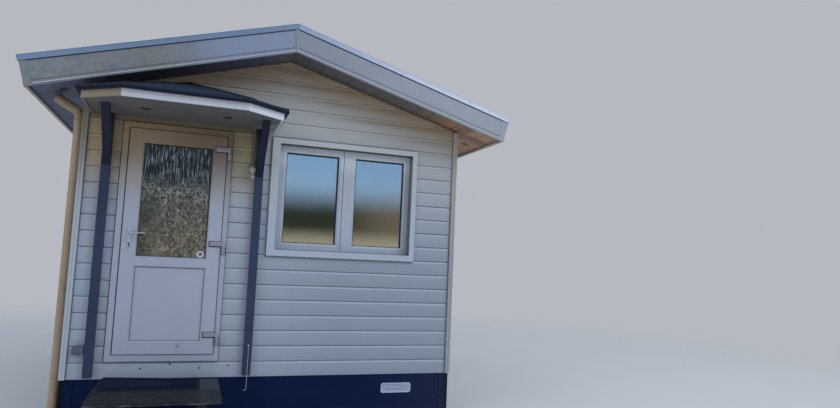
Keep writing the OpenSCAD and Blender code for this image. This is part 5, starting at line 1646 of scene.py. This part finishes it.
pe = MB()
screw_eye_mesh(pe, (-0.232, -0.075, 0.745), (0, 1, 0), (0, 0, 1), 0.0108, 0.0020)
pe.obj("post_screw_eye", [MAT["zinc"]], slot="zinc_wire", rep=("post_eye",))
de = MB()
screw_eye_mesh(de, (-0.845, LY - 0.015, 0.738), (0, 1, 0), (1, 0, 0), 0.0108, 0.0020)
de.obj("door_screw_eye", [MAT["spot"]], body="door", slot="zinc_wire", rep=("door_eye",))

hk = MB()
ex, ey, ez = -0.232, -0.086, 0.745
R = 0.0075
path = []
# the eye of the hook is bent from the same wire, which then runs down the shank
for i in range(0, 33):
    a = math.radians(-90 + 10 + 340 * i / 32)
    path.append((ex + 0.0004 * (i / 32 - 0.5), ey + R * math.cos(a), ez + R * math.sin(a)))
tube(hk, path, 0.0021, 10)
sh = []
for i in range(0, 41):
    z = ez - 0.0074 - (0.391 - 0.0074) * i / 40
    sh.append((ex, ey, z))
for i in range(1, 11):
    a = math.radians(95 * i / 10)
    sh.append((ex - 0.010 + 0.010 * math.cos(a), ey, ez - 0.391 - 0.010 * math.sin(a)))
sh += [(ex - 0.016, ey, ez - 0.4005), (ex - 0.0235, ey, ez - 0.3990), (ex - 0.0268, ey, ez - 0.3960)]
rr = [0.0021] * (len(sh) - 2) + [0.0020, 0.0011]
tube(hk, sh, rr, 10)
hk.obj("wire_hook", [MAT["zinc"]], body="hook", slot="zinc_wire", rep=("cabin_hook",))

# ------------------------------------------------------------------ canopy
CX, CS, CF, D1, D2 = -0.908, 0.806, 0.486, 0.580, 0.827
CZ = 2.774
OUTL = [(CX - CS, 0.0), (CX - CS, -D1), (CX - CF, -D2), (CX + CF, -D2), (CX + CS, -D1), (CX + CS, 0.0)]
# with this order the outside of the path is on its right
cf = MB()
fp = [(0.0178, CZ + 0.0010), (0.0010, CZ), (0.0, CZ + 0.0010), (0.0, CZ + 0.0460), (0.0012, CZ + 0.0475), (0.0012, CZ + 0.0495), (0.0, CZ + 0.0510), (0.0, CZ + 0.0620), (0.0178, CZ + 0.0620)]
for i in range(5):
    seg = OUTL[i:i + 2]
    offs = {d: offset_path(OUTL, d) for d in set(p[0] for p in fp)}
    rings = [[(offs[d][q][0], offs[d][q][1], z) for d, z in fp] for q in (i, i + 1)]
    # t marks each facet, left side to right side, for its painted light in the canopy boards' material
    sweep(cf, rings, t=(0.3, 0.3, 0.5, 0.7, 0.7)[i])
cf.obj("canopy_fascia_boards", [MAT["canopy_white"]], slot="canopy_white", rep=("canopy_fascia",))

cs_ = MB()
inner = offset_path(OUTL, 0.0183)
# boards across the canopy, cut to its outline
y = -0.002
k = 0
while y > -D2:
    y1 = max(y - 0.095, -D2 - 0.02)
    b = bmesh.new()
    vs = []
    pr_ = [(y - 0.0008, CZ + 0.0104), (y - 0.0028, CZ + 0.0100), (y1 + 0.0028, CZ + 0.0100), (y1 + 0.0008, CZ + 0.0104), (y1 + 0.0008, CZ + 0.0215), (y - 0.0008, CZ + 0.0215)]
    rings = [[b.verts.new((x, yy, zz)) for yy, zz in pr_] for x in (CX - CS - 0.1, CX + CS + 0.1)]
    n = len(pr_)
    for q in range(n):
        b.faces.new((rings[0][q], rings[0][(q + 1) % n], rings[1][(q + 1) % n], rings[1][q]))
    b.faces.new(list(reversed(rings[0])))
    b.faces.new(rings[1])
    bmesh.ops.recalc_face_normals(b, faces=b.faces[:])
    for p0, p1 in zip(inner[:-1], inner[1:]):
        d = (Vector((p1[0], p1[1], 0)) - Vector((p0[0], p0[1], 0))).normalized()
        nrm = Vector((d.y, -d.x, 0))
        if nrm.dot(Vector((p0[0] - CX, p0[1] + 0.3, 0))) < 0:
            nrm = -nrm
        cut(b, Vector((p0[0], p0[1], 0)), nrm)
    if b.faces:
        cs_.bm(b, 0, False, random.random())
    else:
        b.free()
    y = y1
    k += 1
cs_.obj("canopy_soffit_boards", [MAT["can_soffit"]], slot="canopy_soffit", rep=("canopy_soffit",))

csp = MB()
for dx in (-0.336, 0.336):
    spotlight(csp, (CX + dx, -0.385, CZ + 0.0098), (0, 0, -1), 0.042)
csp.obj("canopy_lights", [MAT["spot"], MAT["lens"]], slot="spotlight", rep=("canopy_spotlights",))

# hipped roof: drip edge, felt on five slopes, and a strip over each hip
cr = MB()
CT = CZ + 0.063
EDGE = 0.043


def can_out(o):
    s = CS + o
    d1 = D1 + o * 0.42
    f = CF + o * 0.42
    d2 = D2 + o
    return [(CX - s, 0.0), (CX - s, -d1), (CX - f, -d2), (CX + f, -d2), (CX + s, -d1), (CX + s, 0.0)]


def ring_at(o, z):
    return [(x, y, z) for x, y in can_out(o)]


AP = Vector((CX, 0.0, 3.154))
eave = ring_at(EDGE - 0.004, CT + 0.0325)
dripo = [(-0.010, CT + 0.0004), (EDGE - 0.012, CT + 0.0004), (EDGE - 0.008, CT + 0.0030), (EDGE - 0.0020, CT + 0.0110), (EDGE - 0.0026, CT + 0.0240), (EDGE - 0.0006, CT + 0.0290), (EDGE - 0.004, CT + 0.0325), (-0.010, CT + 0.0325)]
rings = []
for i in range(6):
    rings.append([(can_out(o)[i][0], can_out(o)[i][1], z) for o, z in dripo])
sweep(cr, rings, mi=0, sm=False)
lip = [(EDGE - 0.014, CT + 0.0002), (EDGE - 0.0050, CT + 0.0002), (EDGE - 0.0008, CT + 0.0060), (EDGE - 0.0008, CT + 0.0150), (EDGE - 0.0020, CT + 0.0155), (EDGE - 0.014, CT + 0.0050)]
rings = []
for i in range(6):
    rings.append([(can_out(o)[i][0], can_out(o)[i][1], z) for o, z in lip])
sweep(cr, rings, mi=1, sm=False)
# slopes with a slight belly, closed underneath
N = 14
for i in range(5):
    a, b_ = Vector(eave[i]), Vector(eave[i + 1])
    vs, rows = [], []
    for r_ in range(N + 1):
        f_ = r_ / N
        m = max(1, int(round((N - r_) * 1.0)))
        row = []
        p0, p1 = a.lerp(AP, f_), b_.lerp(AP, f_)
        cnt = N - r_
        for q in range(cnt + 1):
            p = p0.lerp(p1, q / cnt) if cnt else p0.copy()
            edge = min(q, cnt - q) / max(1, N)
            p.z += 0.010 * math.sin(math.pi * f_) * min(1.0, 3 * edge) + 0.0022 * nz(p.x * 7, p.y * 7, 0, 9)
            if p.y > -1e-6:
                p.y = 0.0
            row.append(len(vs))
            vs.append(tuple(p))
        rows.append(row)
    fs = []
    for ra, rb in zip(rows[:-1], rows[1:]):
        for q in range(len(ra) - 1):
            fs.append((ra[q], ra[q + 1], rb[min(q, len(rb) - 1)]))
            if q + 1 <= len(rb) - 1 and q < len(rb) - 1:
                fs.append((ra[q + 1], rb[q + 1], rb[q]))
    cr.add(vs, fs, 0, True)
# back closing face against the wall and the plate under the slopes
e = eave
cr.add([e[0], e[5], tuple(AP)], [(0, 1, 2)], 0)
cr.add(list(e), [tuple(range(6))], 0)
# hip strips
for i in (1, 2, 3, 4):
    c0 = Vector(eave[i])
    nb_ = [Vector(eave[i - 1]), Vector(eave[i + 1])]
    dirs = [(q - c0).normalized() for q in nb_]
    sec = []
    K = 18
    for s_ in range(K + 1):
        f_ = s_ / K
        p = c0.lerp(AP, f_ * 0.985)
        w_ = 0.055 * (1 - 0.45 * f_)
        n_up = 0.0065
        l = p + dirs[0] * w_ * (1 - f_ * 0.15)
        r_ = p + dirs[1] * w_ * (1 - f_ * 0.15)
        bump_ = 0.010 * math.sin(math.pi * f_) * 0.5
        ring = [l + Vector((0, 0, 0.0030 + bump_)), l.lerp(p, 0.5) + Vector((0, 0, n_up * 0.8 + bump_ * 0.6)), p + Vector((0, 0, n_up)), r_.lerp(p, 0.5) + Vector((0, 0, n_up * 0.8 + bump_ * 0.6)), r_ + Vector((0, 0, 0.0030 + bump_)),
                r_ + Vector((0, 0, -0.006)), p + Vector((0, 0, -0.004)), l + Vector((0, 0, -0.006))]
        sec.append([(q.x, min(q.y, -0.0002), q.z) for q in ring])
    sweep(cr, sec, mi=1, sm=True)
# upstand along the wall
for s_ in (1, -1):
    a = Vector(e[5] if s_ > 0 else e[0])
    pts = []
    for q in range(9):
        p = a.lerp(AP, q / 8)
        pts.append(p)
    sec = [[(p.x, 0.0, p.z - 0.004), (p.x, -0.030, p.z - 0.004), (p.x, -0.030, p.z + 0.001), (p.x, -0.006, p.z + 0.006), (p.x, -0.004, p.z + 0.010), (p.x, 0.0, p.z + 0.010)] for p in pts]
    sweep(cr, sec, mi=1, sm=False)
cr.obj("canopy_roofing", [MAT["canopy_felt"], MAT["canopy_edge"]], slot="canopy_felt", rep=("canopy_roof",), auto=28)

cpst = MB()
for x in (-1.557, -0.236):
    bev_box(cpst, x - 0.0373, x + 0.0373, -0.060, -0.0006, 0.470, 2.3175, 0.0030, 2, 0, t=random.random())
    bev_box(cpst, x - 0.0373, x + 0.0373, -0.060, -0.0006, 2.3180, CZ + 0.0095, 0.0030, 2, 1, t=random.random())
cpst.obj("canopy_post_pair", [MAT["post"], MAT["brace"]], slot="navy_post", rep=("canopy_posts",))
cb = MB()
for x in (-1.547, -0.237):
    pts = [(-0.0602, 2.318), (-0.0602, 2.412), (-0.402, CZ + 0.0095), (-0.490, CZ + 0.0095)]
    prism(cb, pts, lambda p, x=x: (x - 0.033, p[0], p[1]), lambda p, x=x: (x + 0.033, p[0], p[1]), 0.003, 2, t=random.random())
cb.obj("canopy_brace_pair", [MAT["brace"]], slot="navy_brace", rep=("canopy_braces",))

# ------------------------------------------------------------------ small fittings
ms = MB()
SX_, SY_, SZ_ = -0.304, -0.064, 2.381
lathe(ms, [(0, 0.0), (0.0165, 0.0), (0.0170, 0.002), (0.0160, 0.050), (0.0150, 0.064), (0, 0.064)], (SX_, -0.0005, SZ_), (0, -1, 0), 26, 1)
lathe(ms, [(0, 0.0), (0.027, 0.0), (0.0302, 0.002), (0.0308, 0.006), (0.0308, 0.0125), (0.0292, 0.0165), (0.0240, 0.0190), (0.0225, 0.0180), (0.0120, 0.0196), (0, 0.0200)], (SX_, SY_, SZ_), (0, -1, 0), 40, 0)
lathe(ms, [(0.0300, 0.0), (0.0319, 0.0), (0.0319, 0.0060), (0.0300, 0.0060)], (SX_, SY_ - 0.0005, SZ_), (0, -1, 0), 40, 1)
tube(ms, [(-0.303, -0.0720, 2.352), (-0.302, -0.0740, 2.340), (-0.302, -0.0735, 2.322)], [0.0075, 0.0070, 0.0075], 14, mi=0)
lathe(ms, [(0, -0.0185), (0.0075, -0.0170), (0.0140, -0.0120), (0.0178, -0.0050), (0.0185, 0.0010), (0.0185, 0.0040), (0.0150, 0.0045), (0.0148, 0.0080), (0.0120, 0.0140), (0.0060, 0.0178), (0, 0.0185)], (-0.302, -0.0740, 2.309), (0.1, -0.75, -0.65), 32, 0)
lathe(ms, [(0.0145, 0.0), (0.0192, 0.0), (0.0192, 0.0038), (0.0145, 0.0038)], (-0.302, -0.0740, 2.309), (0.1, -0.75, -0.65), 32, 1)
ms.obj("motion_detector", [MAT["sensor"], MAT["sensor_dark"]], slot="sensor_grey", rep=("motion_sensor",))

sc = MB()
tube(sc, [(-0.300, -0.022, z) for z in (2.4145, 2.42, 2.50, 2.60, 2.70, 2.77, CZ + 0.0095)], 0.0088, 16)
# thin dark strip at the conduit's left, painted as its shadow on the wall
bev_box(sc, -0.3125, -0.3094, -0.0120, -0.0008, 2.416, CZ + 0.0090, 0.0006, 1, 1)
for z in (2.47, 2.69):
    lathe(sc, [(0.0088, -0.008), (0.0104, -0.0078), (0.0108, 0.0), (0.0104, 0.0078), (0.0088, 0.008)], (-0.300, -0.022, z), (0, 0, 1), 20, 0)
    bev_box(sc, -0.306, -0.294, -0.016, -0.0005, z - 0.007, z + 0.007, 0.001, 1, 0)
sc.obj("conduit", [MAT["conduit"], MAT["sensor_dark"]], slot="conduit_grey", rep=("sensor_conduit",))

sb = MB()
plate(sb, -1.643, 0.702, 0.094, 0.070, 0.009, -0.0003, -0.050, 0.004, 0)
plate(sb, -1.643, 0.702, 0.086, 0.062, 0.007, -0.0495, -0.0598, 0.003, 0)
for dz in (-1, 1):
    bev_box(sb, -1.689, -1.597, -0.0520, -0.0498, 0.702 + dz * 0.0335 - 0.0012, 0.702 + dz * 0.0335 + 0.0012, 0.0006, 1, 1)
lathe(sb, [(0, 0), (0.0042, 0), (0.0042, 0.06), (0, 0.06)], (-1.673, -0.0545, 0.7375), (1, 0, 0), 14, 0)
sb.obj("outdoor_socket", [MAT["socket"], MAT["socket_rim"]], slot="socket_grey", rep=("socket_box",))

pv = MB()


def vent(mb):
    cx, cz, w_, h_ = 1.241, 0.313, 0.314, 0.097
    y0 = 0.010
    # rim
    o = rounded_rect(cx, cz, w_, h_, 0.022, 6)
    i1 = rounded_rect(cx, cz, w_ - 0.004, h_ - 0.004, 0.020, 6)
    i2 = rounded_rect(cx, cz, w_ - 0.026, h_ - 0.026, 0.010, 6)
    i3 = rounded_rect(cx, cz, w_ - 0.030, h_ - 0.030, 0.008, 6)
    rings = [[(x, y0 - 0.0003, z) for x, z in o], [(x, y0 - 0.0040, z) for x, z in o], [(x, y0 - 0.0058, z) for x, z in i1], [(x, y0 - 0.0058, z) for x, z in i2], [(x, y0 - 0.0045, z) for x, z in i3], [(x, y0 - 0.0003, z) for x, z in i3]]
    sweep(mb, rings, closed=True, caps=False, sm=True)
    # slats
    for k in range(5):
        z = cz - 0.0262 + 0.0131 * k
        pr_ = [(y0 - 0.0050, z - 0.0050), (y0 - 0.0040, z - 0.0052), (y0 - 0.0012, z + 0.0030), (y0 - 0.0022, z + 0.0036)]
        along_x(mb, pr_, cx - w_ / 2 + 0.014, cx + w_ / 2 - 0.014)
    # dark plate behind the slats, painted as the shade inside the vent
    bev_box(mb, cx - w_ / 2 + 0.012, cx + w_ / 2 - 0.012, y0 - 0.0010, y0 - 0.0002, cz - h_ / 2 + 0.012, cz + h_ / 2 - 0.012, 0.0, mi=1)
    for s_ in (-1, 1):
        lathe(mb, [(0, 0), (0.0036, 0), (0.0036, 0.0008), (0, 0.0012)], (cx + s_ * (w_ / 2 - 0.0075), y0 - 0.0056, cz), (0, -1, 0), 12, 2)


v1 = MB()
vent(v1)
pv.merge(v1)
pv.merge(v1.turned())
pv.obj("vent_grilles", [MAT["vent"], MAT["dark"], MAT["screw"]], slot="vent_white", rep=("plinth_vents",))

dpm = MB()


def rain_pipe(x0, length):
    """Pipe up the wall's left side that bends in under the roof."""
    d1_ = MB()
    R = 0.090
    path = [(x0, 0.110, z) for z in (0.030, 0.05, 0.45, 0.95, 1.45, 1.95, 2.45, 2.70)]
    for i in range(0, 13):
        a = math.radians(60 * i / 12)
        path.append((x0 - R + R * math.cos(a), 0.110, 2.735 + R * math.sin(a)))
    ex_, ez_ = path[-1][0], path[-1][2]
    ux, uz = -math.sin(math.radians(60)), math.cos(math.radians(60))
    for t_ in (0.3, 0.6, 0.85, 1.0):
        path.append((ex_ + ux * length * t_, 0.110, ez_ + uz * length * t_))
    tube(d1_, path, 0.0404, 28)
    # sockets of the joints and clips to the wall
    for z in (0.42, 2.690):
        lathe(d1_, [(0.0402, -0.030), (0.0419, -0.029), (0.0419, 0.024), (0.0410, 0.030), (0.0402, 0.030)], (x0, 0.110, z), (0, 0, 1), 32, 0)
        lathe(d1_, [(0.0404, 0.0302), (0.0414, 0.0302), (0.0414, 0.0322), (0.0404, 0.0322)], (x0, 0.110, z), (0, 0, 1), 32, 1)
    mx, mz = ex_ + ux * 0.022, ez_ + uz * 0.022
    lathe(d1_, [(0.0402, -0.022), (0.0419, -0.021), (0.0419, 0.018), (0.0402, 0.022)], (mx, 0.110, mz), (ux, 0, uz), 32, 0)
    for z in (0.80, 1.75, 2.60):
        lathe(d1_, [(0.0402, -0.011), (0.0419, -0.010), (0.0419, 0.010), (0.0402, 0.011)], (x0, 0.110, z), (0, 0, 1), 32, 0, t=0.2)
        bev_box(d1_, x0 + 0.034, XL - 0.0005, 0.098, 0.122, z - 0.010, z + 0.010, 0.0015, 1, 0)
    return d1_


dpm.merge(rain_pipe(-1.820, 0.170))
dpm.merge(rain_pipe(-1.820, 0.158).turned(WX))
dpm.obj("rain_pipes", [MAT["downpipe"], MAT["sensor_dark"]], slot="downpipe_cream", rep=("downpipes",))

# ------------------------------------------------------------------ step
st = MB()
SX0, SX1 = -1.460, -0.480
SZ1 = 0.448
yb_ = -0.937
n_b = 6
bw_ = (0.892 - 0.005 * (n_b - 1)) / n_b
for i in range(n_b):
    y0 = yb_ + i * (bw_ + 0.005)
    y1 = y0 + bw_
    # ribbed top, with a plain margin each side
    top = []
    m = 0.008
    k = 15
    p_ = (bw_ - 2 * m) / k
    top.append((y0 + 0.003, SZ1 - 0.0003))
    for q in range(k):
        a = y0 + m + q * p_
        top += [(a, SZ1 - 0.0006), (a + p_ * 0.22, SZ1 - 0.0030), (a + p_ * 0.48, SZ1 - 0.0030), (a + p_ * 0.70, SZ1 - 0.0006)]
    top.append((y1 - 0.003, SZ1 - 0.0003))
    prof = [(y0, SZ1 - 0.0035)] + top + [(y1, SZ1 - 0.0035), (y1, SZ1 - 0.0320), (y1 - 0.003, SZ1 - 0.035), (y0 + 0.003, SZ1 - 0.035), (y0, SZ1 - 0.0320)]
    e0, e1 = SX0 + random.uniform(0, 0.003), SX1 - random.uniform(0, 0.003)
    sg = random.random()
    along_x(st, prof, e0, e1, step=0.25, t=random.random(), wob=lambda x, y, z, sg=sg, i=i: (0.0, -0.0012 * abs(nz(x * 1.5, i * 3.3, 0, 8))))
screws(st, [], 1)
for i in range(n_b):
    y0 = yb_ + i * (bw_ + 0.005)
    for xs_ in (SX0 + 0.055, SX1 - 0.055):
        for yy in (y0 + 0.030, y0 + bw_ - 0.030):
            lathe(st, [(0, -0.004), (0.0036, -0.004), (0.0040, -0.0014), (0.0026, -0.0018), (0, -0.0026)], (xs_, yy, SZ1), (0, 0, 1), 10, 1)
st.obj("step_deck", [MAT["deck"], MAT["screw"]], slot="step_timber", rep=("door_step",))
sbm = MB()
for s_ in (-1, 1):
    xc = -0.970 + s_ * 0.352
    bev_box(sbm, xc - 0.0223, xc + 0.0223, yb_ + 0.020, -0.065, SZ1 - 0.130, SZ1 - 0.0352, 0.003, 2, 0, t=random.random())
sbm.obj("step_beams", [MAT["bearer"]], slot="step_timber", rep=("step_bearers",))
sl = MB()
for s_ in (-1, 1):
    for y in (yb_ + 0.060, -0.105):
        xc = -0.970 + s_ * 0.352
        bev_box(sl, xc - 0.0223, xc + 0.0223, y - 0.0223, y + 0.0223, 0.0, SZ1 - 0.1302, 0.004, 2, 0, t=random.random())
sl.obj("step_posts", [MAT["leg"]], slot="step_timber", rep=("step_legs",))

mt = MB()
MX0, MX1, MY0, MY1 = -1.432, -0.645, -0.505, -0.052
mz0, mz1 = SZ1 + 0.0002, SZ1 + 0.0080
# bevelled border and ribs
brd = 0.030
rings = []
for (xx0, xx1, yy0, yy1, zz) in ((MX0, MX1, MY0, MY1, mz0), (MX0, MX1, MY0, MY1, mz0 + 0.0018), (MX0 + 0.014, MX1 - 0.014, MY0 + 0.014, MY1 - 0.014, mz1 - 0.0008), (MX0 + 0.018, MX1 - 0.018, MY0 + 0.018, MY1 - 0.018, mz1),
                                 (MX0 + brd, MX1 - brd, MY0 + brd, MY1 - brd, mz1), (MX0 + brd + 0.002, MX1 - brd - 0.002, MY0 + brd + 0.002, MY1 - brd - 0.002, mz1 - 0.0030)):
    rings.append([(xx0, yy0, zz), (xx1, yy0, zz), (xx1, yy1, zz), (xx0, yy1, zz)])
sweep(mt, rings)
y = MY0 + brd + 0.006
while y < MY1 - brd - 0.008:
    pr_ = [(y, mz1 - 0.0032), (y + 0.0008, mz1 - 0.0008), (y + 0.0020, mz1 - 0.0004), (y + 0.0036, mz1 - 0.0008), (y + 0.0044, mz1 - 0.0032)]
    along_x(mt, pr_, MX0 + brd + 0.003, MX1 - brd - 0.003, t=random.random())
    y += 0.0080
# the corner by the wall has curled up
vv = []
for x, y, z in mt.v:
    dx, dy = x - MX0, MY1 - y
    k_ = max(0.0, 1.0 - math.hypot(dx / 0.26, dy / 0.20))
    vv.append((x, y, z + 0.024 * k_ * k_ * (3 - 2 * k_)))
mt.v = vv
mt.obj("rubber_mat", [MAT["mat"]], slot="mat_rubber", rep=("door_mat",))

# ------------------------------------------------------------------ stage
fm = bpy.data.meshes.new("stage_floor")
S = 60.0
fm.from_pydata([(-S, -S, 0), (S, -S, 0), (S, S, 0), (-S, S, 0)], [], [(0, 1, 2, 3)])
fo = bpy.data.objects.new("stage_floor", fm)
bpy.context.scene.collection.objects.link(fo)
M = NT("stage_floor_paint", rough=0.9)
M.color(M.mix(M.range(M.noise(0.6, 4.0), 0.3, 0.7), (0.86, 0.83, 0.79), (0.88, 0.85, 0.81)))
M.b.inputs["Specular IOR Level"].default_value = 0.1
x, y, z = M.sep()
rad = M.math("SQRT", M.math("ADD", M.math("MULTIPLY", x, x), M.math("MULTIPLY", y, y)))
ml = M.n("ShaderNodeMixShader")
tr = M.n("ShaderNodeBsdfTransparent")
M.nt.links.new(M.range(rad, 4.5, 15.0, 0.0, 1.0, True), ml.inputs[0])
M.nt.links.new(M.b.outputs[0], ml.inputs[1])
M.nt.links.new(tr.outputs[0], ml.inputs[2])
M.nt.links.new(ml.outputs[0], M.out.inputs[0])
fm.materials.append(M.m)

world = bpy.data.worlds.new("studio")
bpy.context.scene.world = world
world.use_nodes = True


class World(NT):
    """The node helpers on the world's tree."""

    def __init__(self, w):
        self.nt = w.node_tree
        self.nt.nodes.clear()
        self.out = self.n("ShaderNodeOutputWorld")
        self.bg = self.n("ShaderNodeBackground")
        self.nt.links.new(self.bg.outputs[0], self.out.inputs[0])
        self.tc = self.n("ShaderNodeTexCoord").outputs["Generated"]


W = World(world)
x, y, z = W.sep()
sky = W.ramp(z, [(0.0, (0.50, 0.52, 0.54)), (0.12, (0.52, 0.57, 0.64)), (0.5, (0.50, 0.57, 0.68)), (1.0, (0.46, 0.55, 0.70))])
# plain soft gradient in front of the cabin, blue above and dark low down, for the panes
rx = W.math("DIVIDE", x, W.math("MAXIMUM", W.math("MULTIPLY", y, -1.0), 0.05))
fore = W.range(y, -0.15, -0.45, 0.0, 1.0, True)
blue = W.mix(W.range(z, 0.06, 0.17, 0.0, 1.0, True), (0.49, 0.66, 0.82), (0.365, 0.585, 0.865))
c = W.mix(W.math("MULTIPLY", fore, W.range(z, 0.20, 0.55, 1.0, 0.0, True)), sky, blue)
dark = W.mix(W.range(rx, 0.20, 0.31, 0.0, 1.0, True), (0.052, 0.058, 0.040), (0.235, 0.185, 0.120))
dark = W.mix(W.range(z, 0.052, 0.022, 0.0, 0.85, True), dark, (0.66, 0.54, 0.36))
dark = W.mix(W.range(z, 0.012, -0.018, 0.0, 1.0, True), dark, (0.555, 0.542, 0.525))
c = W.mix(W.math("MULTIPLY", fore, W.range(z, 0.122, 0.066, 0.0, 1.0, True)), c, dark)
lp = W.n("ShaderNodeLightPath").outputs["Is Camera Ray"]
W.nt.links.new(W.mix(lp, c, (0.555, 0.58, 0.625)), W.bg.inputs[0])
W.bg.inputs[1].default_value = 0.845


def area(name, loc, target, size, power, color=(1, 1, 1)):
    l = bpy.data.lights.new(name, "AREA")
    l.shape = "RECTANGLE"
    l.size, l.size_y = size
    l.energy = power
    l.color = color
    o = bpy.data.objects.new(name, l)
    o.location = loc
    d = Vector(target) - Vector(loc)
    o.rotation_euler = d.to_track_quat("-Z", "Y").to_euler()
    bpy.context.scene.collection.objects.link(o)
    return o


area("key", (9.0, -12.0, 11.0), (0.0, -1.5, 1.6), (9.0, 7.0), 620, (0.97, 0.985, 1.0))
area("fill", (-10.0, -9.0, 6.0), (0.0, -1.0, 1.6), (8.0, 6.0), 220, (1.0, 0.95, 0.88))

cam = bpy.data.cameras.new("camera")
co = bpy.data.objects.new("camera", cam)
bpy.context.scene.collection.objects.link(co)
yaw, pit, rol = math.radians(19.543), math.radians(5.337), math.radians(2.471)
fwd = Vector((math.sin(yaw) * math.cos(pit), math.cos(yaw) * math.cos(pit), math.sin(pit)))
r0 = Vector((math.cos(yaw), -math.sin(yaw), 0))
u0 = r0.cross(fwd)
r_ = r0 * math.cos(rol) + u0 * math.sin(rol)
u_ = -r0 * math.sin(rol) + u0 * math.cos(rol)
mw = Matrix((r_, u_, -fwd)).transposed().to_4x4()
mw.translation = Vector((-0.779, -8.3115, 1.572))
co.matrix_world = mw
cam.sensor_width = 36.0
cam.lens = 36.0 * 631.1 / 840.0
cam.clip_end = 500.0
bpy.context.scene.camera = co

sc_ = bpy.context.scene
sc_.view_settings.view_transform = "Standard"
sc_.view_settings.look = "None"
sc_.view_settings.exposure = 0.0
